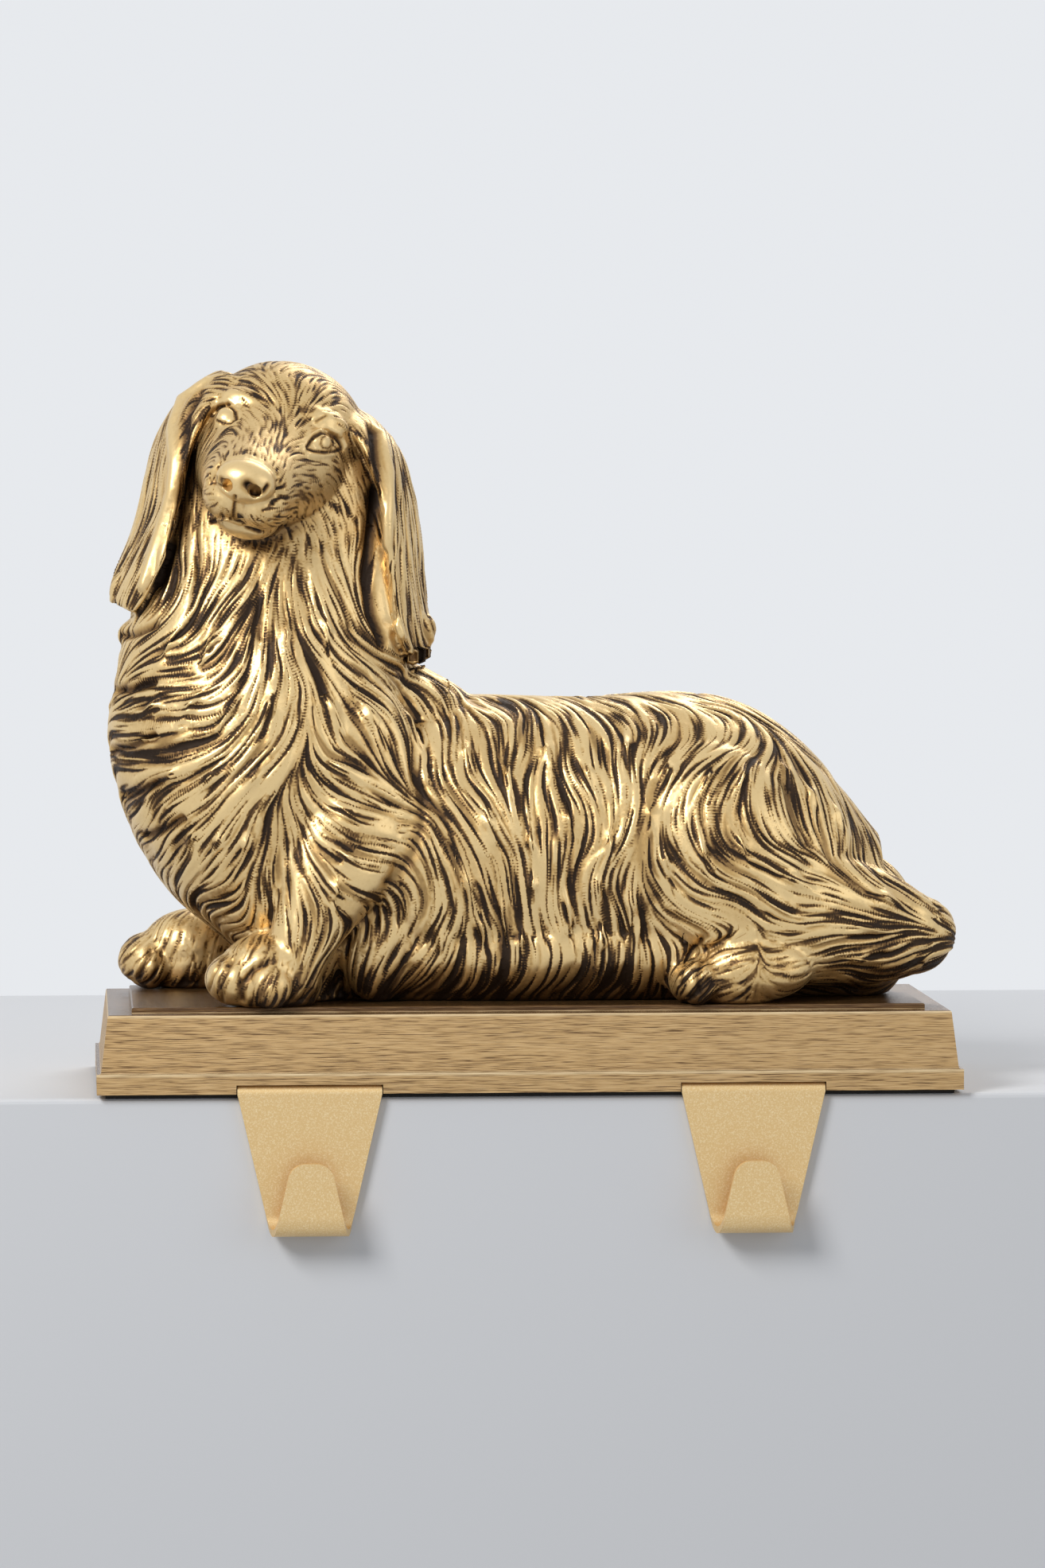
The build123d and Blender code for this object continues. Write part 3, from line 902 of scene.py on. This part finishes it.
@dataclass
class Coat:
    """How the hair lies over the figure, and the marks that it leaves.

    Attributes:
        figure: The figure's merged mesh.
        view: The photograph's camera.
        seat: Height that the figure stands at.
        pitch: Pitch of the grid that the lie of the hair is kept on.
        grid_margin: How many pitches the grid reaches past the figure.
        grid_parts: How many parts the grid is worked out in.
        step: Length of a step along the hair.
        sway: How far the hair turns from the strokes.
        sway_size: Width of a stretch that turns one way.
        seed: Seed of the noise.
        noise_size: Number of values of the noise along each axis.
        room_passes: How often the filled room is blurred.
        room_offset: How far out of the surface the room is looked up.
        room_from: Share of filled room at which a hollow begins.
        room_span: How much more filled room makes a hollow a full one.
        guide_spacing: Distance between the points of a laid stroke.
        guide_lengths: Shortest and longest step between such points that is trusted.
        guide_blur: How near a stroke has to be to rule alone.
        cut_spacing: Distance between the points of a cut.
        fold_polish: How fast the polish of a raised fold grows towards its middle.
        prick_width: Half width of a whisker's prick.
        prick_depth: Depth of a whisker's prick.
        trace_reach: How many widths from a line its mark ends.
        trace_batch: How many points are measured against a line at once.
        bare_edge: Share of a bare place's radius at which the hair begins.
        bare_fade: Share of the radius over which the hair fades out.
    """

    figure: bpy.types.Object
    view: PhotoView
    seat: float
    pitch: float = 3.0 * MM
    grid_margin: int = 6
    grid_parts: int = 60
    step: float = 0.9 * MM
    sway: float = math.radians(20)
    sway_size: float = 14.0 * MM
    seed: int = 7
    noise_size: int = 61
    room_passes: int = 6
    room_offset: float = 1.5 * MM
    room_from: float = 0.50
    room_span: float = 0.22
    guide_spacing: float = 3.0 * MM
    guide_lengths: Span = (0.3 * MM, 25 * MM)
    guide_blur: float = 3 * MM
    cut_spacing: float = 0.5 * MM
    fold_polish: float = 1.6
    prick_width: float = 0.45 * MM
    prick_depth: float = 0.7 * MM
    trace_reach: float = 3.0
    trace_batch: int = 4000
    bare_edge: float = 1.15
    bare_fade: float = 0.3

    def __post_init__(self) -> None:
        """Throw the strokes onto the figure and spread them to a field."""
        self.corners = read_vertices(self.figure, VertexValue.PLACE)
        polygons = [tuple(polygon.vertices) for polygon in self.figure.data.polygons]
        self.tree = BVHTree.FromPolygons([Vector(corner) for corner in self.corners], polygons)
        self.random = np.random.default_rng(self.seed)
        self.noise = self.random.standard_normal((self.noise_size,) * 3).astype(np.float32)
        self.field, self.hollows = self.comb()

    def throw(self, pixel: Pixel) -> Vector | None:
        """Where the camera's ray through a pixel meets the figure, or nothing."""
        return self.tree.ray_cast(self.view.place, self.view.ray(pixel))[0]

    def lay(self, stroke: Stroke, spacing: float) -> list[np.ndarray]:
        """Lay a stroke on the figure.

        Args:
            stroke: The stroke, in pixels.
            spacing: Distance between the points of the laid line, in metres.

        Returns:
            One array of points for each side that the stroke is laid on.
        """
        hits: list[Vector | None] = []
        for start, end in zip(stroke.line, stroke.line[1:]):
            span = math.dist(start, end) * self.view.distance / self.view.focal_pixels
            count = max(2, math.ceil(span / spacing))
            for share in np.linspace(0, 1, count, endpoint=False):
                column = start[0] + (end[0] - start[0]) * share
                row = start[1] + (end[1] - start[1]) * share
                hits.append(self.throw((column, row)))
        hits.append(self.throw(stroke.line[-1]))
        found = [hit for hit in hits if hit is not None]
        if len(found) < 2:
            return []
        laid = [np.array(found)]
        if stroke.side is Side.BOTH:
            mirrored = [self.tree.find_nearest(Vector((hit.x, -hit.y, hit.z)))[0] for hit in found]
            laid.append(np.array(mirrored))
        return laid

    def guides(self) -> tuple[np.ndarray, np.ndarray]:
        """Lay all the coat's strokes.

        Returns:
            Points along them, and the way the hair lies there.
        """
        lines: list[np.ndarray] = []
        for stroke in COAT_STROKES.values():
            lines += self.lay(stroke, self.guide_spacing)
        for line in BACK_STROKES.values():
            lifted = [Vector((x * MM, y * MM, z * MM + self.seat)) for x, y, z in line]
            lines.append(np.array([self.tree.find_nearest(point)[0] for point in lifted]))
        starts = np.vstack([line[:-1] for line in lines])
        ways = np.vstack([np.diff(line, axis=0) for line in lines])
        lengths = np.linalg.norm(ways, axis=1)
        shortest, longest = self.guide_lengths
        good = (lengths > shortest) & (lengths < longest)
        return starts[good], ways[good] / lengths[good, None]

    def comb(self) -> tuple[Lattice, Lattice]:
        """Spread the guides over the figure.

        Returns:
            The way the hair lies, which keeps to the surface and sways a little, and how much of the
            room around a place is filled by the figure.
        """
        margin = self.grid_margin * self.pitch
        low = self.corners.min(axis=0) - margin
        counts = np.ceil((self.corners.max(axis=0) + margin - low) / self.pitch).astype(int) + 1
        axes = [low[axis] + self.pitch * np.arange(counts[axis]) for axis in range(3)]
        points = np.stack(np.meshgrid(*axes, indexing="ij"), axis=-1).reshape(-1, 3)
        starts, ways = self.guides()
        flow = np.empty_like(points)
        for part in np.array_split(np.arange(len(points)), self.grid_parts):
            gaps = ((points[part, None, :] - starts[None]) ** 2).sum(axis=2)
            weights = 1.0 / (gaps + self.guide_blur**2) ** 2
            flow[part] = weights @ ways
        outward, inside = self.survey(points)
        flow -= outward * (flow * outward).sum(axis=1, keepdims=True)
        flow /= np.linalg.norm(flow, axis=1, keepdims=True) + NEVER_ZERO
        swaying = Lattice(self.noise, np.zeros(3), self.sway_size).read(points)
        angle = (self.sway * swaying)[:, None]
        flow = flow * np.cos(angle) + np.cross(outward, flow) * np.sin(angle)
        room = inside.reshape(counts)
        for _ in range(self.room_passes):
            for axis in range(3):
                room = room / 2 + (np.roll(room, 1, axis) + np.roll(room, -1, axis)) / 4
        lie = Lattice(flow.reshape(*counts, 3).astype(np.float32), low, self.pitch)
        return lie, Lattice(room.astype(np.float32), low, self.pitch)

    def survey(self, points: np.ndarray) -> tuple[np.ndarray, np.ndarray]:
        """Look up how points lie to the figure.

        Args:
            points: One row per point.

        Returns:
            Directions out of the figure near the points, and one for each point inside it.
        """
        outward = np.empty_like(points)
        inside = np.empty(len(points))
        for number, point in enumerate(points):
            place, normal, _, _ = self.tree.find_nearest(Vector(point))
            outward[number] = normal
            inside[number] = (Vector(point) - place).dot(normal) < 0
        return outward, inside

    def hollow(self, points: np.ndarray, normals: np.ndarray) -> np.ndarray:
        """How far points lie down between the masses of the figure, from nothing to one."""
        filled = self.hollows.read(points + normals * self.room_offset)
        return np.clip((filled - self.room_from) / self.room_span, 0, 1)

    def streaks(self, points: np.ndarray, hairs: tuple[Hair, ...]) -> list[np.ndarray]:
        """Noise drawn out along the hair.

        Args:
            points: Where the streaks are wanted.
            hairs: The kinds of hair to draw.

        Returns:
            For each kind, one number per point, with a spread of one.
        """
        grains = [Lattice(self.noise, self.random.uniform(0, 1, 3), hair.size) for hair in hairs]
        counts = [max(1, round(hair.reach / self.step)) for hair in hairs]
        totals = [grain.read(points) for grain in grains]
        for way in (-self.step, self.step):
            place = points.astype(np.float32)
            for number in range(1, max(counts) + 1):
                place = place + way * self.field.read(place)
                for index, (grain, count) in enumerate(zip(grains, counts)):
                    if number <= count:
                        weight = 0.5 + 0.5 * math.cos(math.pi * number / (count + 1))
                        totals[index] += grain.read(place) * weight
        return [(total - total.mean()) / total.std() for total in totals]

    def marks(self, points: np.ndarray) -> tuple[np.ndarray, np.ndarray, np.ndarray]:
        """What the cut strokes leave at points.

        Args:
            points: One row per point.

        Returns:
            Their depth in metres, the wash that stays in them, which along the ear gaps is painted shadow,
            and how far raised folds are polished.
        """
        depth = np.zeros(len(points))
        ink_and_shade = np.zeros(len(points))
        polish = np.zeros(len(points))
        for stroke in CUT_STROKES.values():
            for line in self.lay(stroke, self.cut_spacing):
                close = self.trace(points, line, stroke.width * MM)
                depth += close * stroke.depth * MM
                if stroke.depth > 0:
                    ink_and_shade = np.maximum(ink_and_shade, close * stroke.ink_and_shade)
                else:
                    polish = np.maximum(polish, np.clip(self.fold_polish * close, 0, 1))
        for pixel in WHISKER_PRICKS:
            hit = self.throw(pixel)
            if hit is not None:
                close = self.trace(points, np.array([hit]), self.prick_width)
                depth += close * self.prick_depth
                ink_and_shade = np.maximum(ink_and_shade, close)
        return depth, ink_and_shade, polish

    def trace(self, points: np.ndarray, line: np.ndarray, width: float) -> np.ndarray:
        """Closeness of points to a line.

        Args:
            points: One row per point.
            line: Points along the line.
            width: Half width of the line's mark.

        Returns:
            One for each point on the line, falling to nothing past its width.
        """
        close = np.zeros(len(points))
        reach = self.trace_reach * width
        above, below = points > line.min(axis=0) - reach, points < line.max(axis=0) + reach
        chosen = np.flatnonzero(np.all(above & below, axis=1))
        for part in np.array_split(chosen, max(1, len(chosen) // self.trace_batch)):
            if len(part):
                gaps = ((points[part, None, :] - line[None]) ** 2).sum(axis=2).min(axis=1)
                close[part] = np.exp(-gaps / width**2)
        return close

    def bare(self, points: np.ndarray) -> np.ndarray:
        """Find the places that are left without hair.

        Args:
            points: One row per point.

        Returns:
            One for each bare point, falling to nothing around the bare places.
        """
        share = np.zeros(len(points))
        for pixel, radius in BARE_SPOTS.values():
            hit = self.throw(pixel)
            if hit is not None:
                away = np.linalg.norm(points - np.array(hit), axis=1) / (radius * MM)
                share = np.maximum(share, np.clip((self.bare_edge - away) / self.bare_fade, 0, 1))
        return share


@dataclass(frozen=True)
class Block:
    """A stretch of the figure that is modelled as one mesh and runs a little into its neighbours.

    Attributes:
        name: The piece's name.
        cuts: Planes, each a point in millimetres above the plinth and the direction that is cut away.
    """

    name: str
    cuts: tuple[tuple[Point, Point], ...]


@dataclass(frozen=True)
class Mass:
    """A round mass of the figure, in millimetres above the plinth.

    Attributes:
        middle: Its middle.
        radii: Its reach along each axis.
        rounds: How often the faces of its first ball are split.
    """

    middle: Point
    radii: Point
    rounds: int = 4

    def away(self, points: np.ndarray, seat: float) -> np.ndarray:
        """Distance of points from the middle, one at the mass's own surface."""
        middle = np.array(self.middle) * MM + np.array((0, 0, seat))
        return np.linalg.norm((points - middle) / (np.array(self.radii) * MM), axis=1)

    def join_to(self, piece: bpy.types.Object, seat: float) -> None:
        """Round out the mass and make it part of a piece.

        Args:
            piece: The piece.
            seat: Height that the figure stands at, in metres.
        """
        bpy.ops.object.select_all(action="DESELECT")
        x, y, z = self.middle
        place = (x * MM, y * MM, z * MM + seat)
        bpy.ops.mesh.primitive_ico_sphere_add(subdivisions=self.rounds, radius=MM, location=place)
        ball = bpy.context.object
        ball.scale = self.radii
        bpy.ops.object.transform_apply(location=True, rotation=True, scale=True)
        piece.select_set(True)
        bpy.context.view_layer.objects.active = piece
        bpy.ops.object.join()


@dataclass
class Figure:
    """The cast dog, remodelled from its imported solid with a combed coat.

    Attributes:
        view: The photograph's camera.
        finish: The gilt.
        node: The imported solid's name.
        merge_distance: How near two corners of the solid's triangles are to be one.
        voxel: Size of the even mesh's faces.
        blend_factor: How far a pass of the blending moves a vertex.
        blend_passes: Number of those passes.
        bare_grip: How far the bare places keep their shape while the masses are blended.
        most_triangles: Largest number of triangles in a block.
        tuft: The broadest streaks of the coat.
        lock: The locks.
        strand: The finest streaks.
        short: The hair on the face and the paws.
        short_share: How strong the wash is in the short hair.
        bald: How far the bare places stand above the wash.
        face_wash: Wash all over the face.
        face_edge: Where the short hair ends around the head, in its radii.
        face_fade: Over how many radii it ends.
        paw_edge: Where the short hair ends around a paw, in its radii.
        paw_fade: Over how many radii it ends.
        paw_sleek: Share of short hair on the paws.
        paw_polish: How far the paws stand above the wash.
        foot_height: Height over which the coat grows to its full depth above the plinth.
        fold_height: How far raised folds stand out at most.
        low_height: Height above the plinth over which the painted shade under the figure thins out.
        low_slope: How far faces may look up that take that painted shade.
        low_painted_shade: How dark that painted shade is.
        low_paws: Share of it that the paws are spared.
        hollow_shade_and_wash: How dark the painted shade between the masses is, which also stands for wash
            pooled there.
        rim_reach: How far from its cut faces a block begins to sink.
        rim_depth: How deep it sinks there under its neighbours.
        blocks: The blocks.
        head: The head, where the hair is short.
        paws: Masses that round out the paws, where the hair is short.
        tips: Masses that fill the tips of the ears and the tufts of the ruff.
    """

    view: PhotoView
    finish: AntiqueGold = AntiqueGold()
    node: str = "figure"
    merge_distance: float = 1e-6
    voxel: float = 0.46 * MM
    blend_factor: float = 0.5
    blend_passes: int = 36
    bare_grip: float = 0.9
    most_triangles: int = 195000
    tuft: Hair = Hair(5.0 * MM, 15 * MM, 0.3, 0.80 * MM, 0.08)
    lock: Hair = Hair(1.4 * MM, 14 * MM, 0.60, 0.60 * MM, 0.35)
    strand: Hair = Hair(0.60 * MM, 10 * MM, 0.20, 0.50 * MM)
    short: Hair = Hair(0.50 * MM, 3.0 * MM, 0.10, 0.22 * MM)
    short_share: float = 0.58
    bald: float = 6.0
    face_wash: float = 0.08
    face_edge: float = 1.12
    face_fade: float = 0.24
    paw_edge: float = 1.30
    paw_fade: float = 0.25
    paw_sleek: float = 0.6
    paw_polish: float = 0.12
    foot_height: float = 1.5 * MM
    fold_height: float = 1 * MM
    low_height: float = 14 * MM
    low_slope: float = 0.4
    low_painted_shade: float = 0.5
    low_paws: float = 0.7
    hollow_shade_and_wash: float = 0.6
    rim_reach: float = 2.5 * MM
    rim_depth: float = 1.4 * MM
    blocks: tuple[Block, ...] = (
        Block("figure_head", (((0, 0, 138), (0, 0, -1)),)),
        Block("figure_neck", (((0, 0, 144), (0, 0, 1)), ((-30, 0, 96.2), (0.2425, 0, -0.9701)))),
        Block("figure_front", (((-30, 0, 102.4), (-0.2425, 0, 0.9701)), ((-18, 0, 0), (1, 0, 0)))),
        Block("figure_middle", (((-24, 0, 0), (-1, 0, 0)), ((48, 0, 0), (1, 0, 0)))),
        Block("figure_hind", (((42, 0, 0), (-1, 0, 0)),)),
    )
    head: Mass = Mass((-74, -12, 160), (33, 46, 33))
    paws: tuple[Mass, ...] = (
        Mass((-86, -36, 8), (9.5, 11.5, 8)),
        Mass((-77.5, -34.5, 11), (13.5, 13, 10.5)),
        Mass((-110.5, 34, 8.5), (10, 11, 8.5)),
        Mass((-98, 34, 12), (15, 12, 12)),
        Mass((67, -33, 10.5), (18, 12.5, 10.5)),
        Mass((67, 33, 10.5), (18, 12.5, 10.5)),
    )
    tips: tuple[Mass, ...] = (
        Mass((-30.2, -4, 109), (5.4, 4, 6)),
        Mass((-116.5, 0, 121.5), (6.5, 5, 6.5)),
        Mass((-111.5, 0, 107.6), (9, 10, 6)),
        Mass((-117, 0, 86.5), (7, 8, 4)),
        Mass((-112.5, -2, 64.5), (7, 8, 3.5)),
        Mass((-107.5, -3, 53), (7, 8, 3.2)),
        Mass((-98.5, -4, 41.5), (6.5, 8, 3)),
    )

    def build(self) -> list[bpy.types.Object]:
        """Model, comb and dress every block of the figure.

        Returns:
            The blocks' objects.
        """
        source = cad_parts[self.node]
        self.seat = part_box(self.node)[0].z
        merged = self.copy(source, "figure_source")
        for mass in self.paws + self.tips:
            mass.join_to(merged, self.seat)
        coat = Coat(merged, self.view, self.seat)
        LOG.info("coat combed")
        gilt = self.finish.material()
        pieces = [self.rough_out(merged, block, coat) for block in self.blocks]
        LOG.info("blocks roughed out")
        self.comb(pieces, coat)
        for piece in pieces:
            self.thin(piece)
            piece.data.materials.clear()
            piece.data.materials.append(gilt)
            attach(piece, "root")
            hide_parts(self.node)
            LOG.info("%s: %d triangles", piece.name, self.triangles(piece))
        bpy.data.objects.remove(merged)
        return pieces

    def copy(self, source: bpy.types.Object, name: str) -> bpy.types.Object:
        """Copy a node's mesh and merge its loose triangles.

        Args:
            source: The node.
            name: The copy's name.

        Returns:
            The copy.
        """
        piece = bpy.data.objects.new(name, source.data.copy())
        bpy.context.scene.collection.objects.link(piece)
        select_only(piece)
        bpy.ops.object.mode_set(mode="EDIT")
        bpy.ops.mesh.select_all(action="SELECT")
        bpy.ops.mesh.remove_doubles(threshold=self.merge_distance)
        bpy.ops.object.mode_set(mode="OBJECT")
        return piece

    def rough_out(self, source: bpy.types.Object, block: Block, coat: Coat) -> bpy.types.Object:
        """Cut a block out of the figure, mesh it evenly and blend its masses.

        Args:
            source: The figure's merged mesh.
            block: The block.
            coat: The coat, whose bare places keep their shape.

        Returns:
            The block's object.
        """
        piece = bpy.data.objects.new(block.name, source.data.copy())
        bpy.context.scene.collection.objects.link(piece)
        select_only(piece)
        bpy.ops.object.mode_set(mode="EDIT")
        for point, way in block.cuts:
            bpy.ops.mesh.select_all(action="SELECT")
            middle = (point[0] * MM, point[1] * MM, point[2] * MM + self.seat)
            bpy.ops.mesh.bisect(plane_co=middle, plane_no=way, use_fill=True, clear_outer=True)
        bpy.ops.object.mode_set(mode="OBJECT")
        remesh = piece.modifiers.new("even", "REMESH")
        remesh.mode = "VOXEL"
        remesh.voxel_size = self.voxel
        bpy.ops.object.modifier_apply(modifier=remesh.name)
        bare = coat.bare(read_vertices(piece, VertexValue.PLACE))
        soft = np.round(1.0 - self.bare_grip * bare, 1)
        group = piece.vertex_groups.new(name="soft")
        for level in np.unique(soft):
            group.add(np.flatnonzero(soft == level).tolist(), float(level), "REPLACE")
        blend = piece.modifiers.new("blend", "SMOOTH")
        blend.factor = self.blend_factor
        blend.iterations = self.blend_passes
        blend.vertex_group = group.name
        bpy.ops.object.modifier_apply(modifier=blend.name)
        piece.vertex_groups.clear()
        return piece

    def face_share(self, points: np.ndarray) -> np.ndarray:
        """One over the face and skull, falling to nothing over the neck and ears."""
        return np.clip((self.face_edge - self.head.away(points, self.seat)) / self.face_fade, 0, 1)

    def paw_share(self, points: np.ndarray) -> np.ndarray:
        """One over the paws, falling to nothing up the legs."""
        away = np.min([paw.away(points, self.seat) for paw in self.paws], axis=0)
        return np.clip((self.paw_edge - away) / self.paw_fade, 0, 1)

    def rim(self, points: np.ndarray, block: Block) -> np.ndarray:
        """Find a block's rims, which sink under its neighbours.

        Args:
            points: The block's vertices, one row each.
            block: The block.

        Returns:
            One at the block's cut faces, and nothing a little inside them.
        """
        nearest = np.full(len(points), np.inf)
        for point, way in block.cuts:
            middle = np.array(point) * MM + np.array((0, 0, self.seat))
            nearest = np.minimum(nearest, (middle - points) @ np.array(way))
        return np.clip(1 - nearest / self.rim_reach, 0, 1)

    def comb(self, pieces: list[bpy.types.Object], coat: Coat) -> None:
        """Cut the face and the combed coat into the blocks, and store the wash with the painted shade, and
        the finest hair.

        Args:
            pieces: The blocks' objects, in the blocks' order.
            coat: The coat.
        """
        rows = [read_vertices(piece, VertexValue.PLACE) for piece in pieces]
        points = np.vstack(rows)
        normals = np.vstack([read_vertices(piece, VertexValue.NORMAL) for piece in pieces])
        face = self.face_share(points)
        paw = self.paw_share(points)
        sleek = np.maximum(face, self.paw_sleek * paw)
        depth, ink_and_shade, polish = coat.marks(points)
        bare = np.maximum(coat.bare(points), polish)
        hairs = (self.tuft, self.lock, self.strand, self.short)
        streaks = coat.streaks(points, hairs)
        cuts = [hair.profile(streak) for hair, streak in zip(hairs, streaks)]
        tints = [hair.groove(streak) * hair.tint for hair, streak in zip(hairs[:2], streaks)]
        hairy = 1 - bare
        height = points[:, 2] - self.seat
        off_floor = np.clip(height / self.foot_height, 0, 1)
        cut = ((1 - sleek) * sum(cuts[:3]) + sleek * cuts[3]) * hairy
        rims = np.concatenate([self.rim(row, block) for row, block in zip(rows, self.blocks)])
        cut = (cut + np.maximum(depth, -self.fold_height)) * off_floor + rims * self.rim_depth
        places = points - normals * cut[:, None]
        finest = (1 - sleek) * streaks[2] + sleek * self.short_share * streaks[3]
        finest += self.bald * bare + self.paw_polish * paw
        # Painted shade under the figure: darker near the plinth on faces that look sideways or down, less on
        # the paws
        low = np.clip(1 - height / self.low_height, 0, 1) * np.clip(self.low_slope - normals[:, 2], 0, 1)
        low *= 1 - self.low_paws * paw
        wash_and_shade = ((1 - sleek) * sum(tints) + self.face_wash * face) * hairy + ink_and_shade
        # Painted shade between the masses, partly standing for wash pooled there, and painted shade under the
        # figure
        wash_and_shade += self.hollow_shade_and_wash * coat.hollow(points, normals) + self.low_painted_shade * low
        stored = {"wash_and_shade": np.clip(wash_and_shade, 0, 1), "hair": finest}
        firsts = np.cumsum([0, *map(len, rows)])
        for piece, first, last in zip(pieces, firsts, firsts[1:]):
            piece.data.vertices.foreach_set("co", places[first:last].ravel())
            for name, values in stored.items():
                attribute = piece.data.attributes.new(name, "FLOAT", "POINT")
                attribute.data.foreach_set("value", values[first:last].astype(np.float32))
            piece.data.polygons.foreach_set("use_smooth", np.ones(len(piece.data.polygons), bool))
            piece.data.update()

    @staticmethod
    def triangles(piece: bpy.types.Object) -> int:
        """Number of triangles in a piece."""
        return sum(len(polygon.vertices) - 2 for polygon in piece.data.polygons)

    def thin(self, piece: bpy.types.Object) -> None:
        """Collapse the flattest triangles of a block until it is light enough.

        Args:
            piece: The block's object.
        """
        count = self.triangles(piece)
        if count > self.most_triangles:
            select_only(piece)
            collapse = piece.modifiers.new("thin", "DECIMATE")
            collapse.ratio = self.most_triangles / count
            bpy.ops.object.modifier_apply(modifier=collapse.name)


@dataclass
class Base:
    """The plinth, hooks, pad and screws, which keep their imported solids.

    Attributes:
        wood: Finish of the plinth.
        paint: Finish of the hooks.
        felt: Finish of the pad.
        steel: Finish of the screws.
    """

    wood: GiltWood = GiltWood()
    paint: GoldPaint = GoldPaint()
    felt: Felt = Felt()
    steel: Finish = Finish("screw_steel", (0.55, 0.55, 0.56), 1.0, 0.35)

    def dress(self) -> None:
        """Give each node its finish."""
        paint, steel = self.paint.material(), self.steel.material()
        finishes = {
            "plinth": self.wood.material(),
            "left_hook": paint,
            "right_hook": paint,
            "base_pad": self.felt.material(),
            "hook_screws": steel,
            "figure_screws": steel,
        }
        for name, finish in finishes.items():
            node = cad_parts[name]
            node.data.materials.clear()
            node.data.materials.append(finish)
            LOG.info("%s: %s", name, finish.name)


@dataclass(frozen=True)
class Lamp:
    """A soft square lamp aimed at the figure.

    Attributes:
        name: The lamp's name.
        place: Where it stands.
        size: Length of its sides.
        power: Its power in watts.
        aim: Where it looks.
    """

    name: str
    place: Point
    size: float
    power: float
    aim: Point = (0, 0, 0.09)

    def build(self) -> None:
        """Make the lamp and turn it to the figure."""
        data = bpy.data.lights.new(self.name, "AREA")
        data.size = self.size
        data.energy = self.power
        lamp = bpy.data.objects.new(self.name, data)
        lamp.location = self.place
        way = Vector(self.aim) - Vector(self.place)
        lamp.rotation_euler = way.to_track_quat("-Z", "Y").to_euler()
        bpy.context.scene.collection.objects.link(lamp)


@dataclass
class Studio:
    """A pale ledge for the holder to stand on, and soft light.

    Attributes:
        ledge_front: Where the ledge ends in front.
        ledge_span: Its length.
        ledge_depth: Its depth from front to back.
        ledge_drop: Height of its front.
        ledge_rounding: Width of its rounded edges.
        ledge_steps: Number of faces across a rounded edge.
        ledge_finish: Its finish.
        sky: Colour of the world.
        sky_strength: How strongly the world lights the holder.
        lamps: The lamps.
    """

    ledge_front: float = -0.0485
    ledge_span: float = 6.0
    ledge_depth: float = 0.36
    ledge_drop: float = 1.5
    ledge_rounding: float = 1.5 * MM
    ledge_steps: int = 3
    ledge_finish: Finish = Finish("pale_ledge", (0.74, 0.75, 0.77), 0.0, 0.8)
    sky: Colour = (0.80, 0.82, 0.85)
    sky_strength: float = 0.42
    lamps: tuple[Lamp, ...] = (
        Lamp("key", (-0.9, -1.0, 0.95), 0.55, 15.5),
        Lamp("fill", (1.5, -1.2, 0.7), 1.2, 4.0),
        Lamp("rim", (0.6, 1.2, 1.4), 1.0, 12.0),
    )

    def build(self) -> None:
        """Make the ledge, the lamps and the world."""
        self.ledge()
        for lamp in self.lamps:
            lamp.build()
        self.surroundings()
        bpy.context.scene.view_settings.view_transform = "Standard"
        LOG.info("ledge, %d lamps and world", len(self.lamps))

    def surroundings(self) -> None:
        """Make a world that lights softly, and that the camera and polished metal see paler."""
        world = bpy.data.worlds.new("studio")
        bpy.context.scene.world = world
        world.use_nodes = True
        tree = world.node_tree
        lighting = tree.nodes["Background"]
        lighting.inputs["Color"].default_value = (*self.sky, 1.0)
        lighting.inputs["Strength"].default_value = self.sky_strength
        backdrop = tree.nodes.new("ShaderNodeBackground")
        backdrop.inputs["Color"].default_value = (*self.sky, 1.0)
        sight = tree.nodes.new("ShaderNodeLightPath")
        mixed = tree.nodes.new("ShaderNodeMixShader")
        seen = sight.outputs["Is Camera Ray"]
        for kind in ("Is Glossy Ray", "Is Transmission Ray"):
            either = tree.nodes.new("ShaderNodeMath")
            either.operation = Working.LARGER.value
            tree.links.new(seen, either.inputs[0])
            tree.links.new(sight.outputs[kind], either.inputs[1])
            seen = either.outputs[0]
        tree.links.new(seen, mixed.inputs[0])
        tree.links.new(lighting.outputs[0], mixed.inputs[1])
        tree.links.new(backdrop.outputs[0], mixed.inputs[2])
        tree.links.new(mixed.outputs[0], tree.nodes["World Output"].inputs["Surface"])

    def ledge(self) -> None:
        """Make a step whose upper face carries the plinth and whose front drops behind the hooks."""
        bpy.ops.object.select_all(action="DESELECT")
        middle = (0.0, self.ledge_front + self.ledge_depth / 2, -self.ledge_drop / 2)
        bpy.ops.mesh.primitive_cube_add(size=1.0, location=middle)
        ledge = bpy.context.object
        ledge.name = "ledge"
        ledge.scale = (self.ledge_span, self.ledge_depth, self.ledge_drop)
        bpy.ops.object.transform_apply(location=True, rotation=True, scale=True)
        rounding = ledge.modifiers.new("rounding", "BEVEL")
        rounding.width = self.ledge_rounding
        rounding.segments = self.ledge_steps
        bpy.ops.object.modifier_apply(modifier=rounding.name)
        ledge.data.materials.append(self.ledge_finish.material())


def main() -> None:
    """Build the camera, the figure, the base and the studio in order."""
    view = PhotoView()
    view.build()
    Figure(view).build()
    Base().dress()
    Studio().build()


if __name__ == "__main__":
    main()
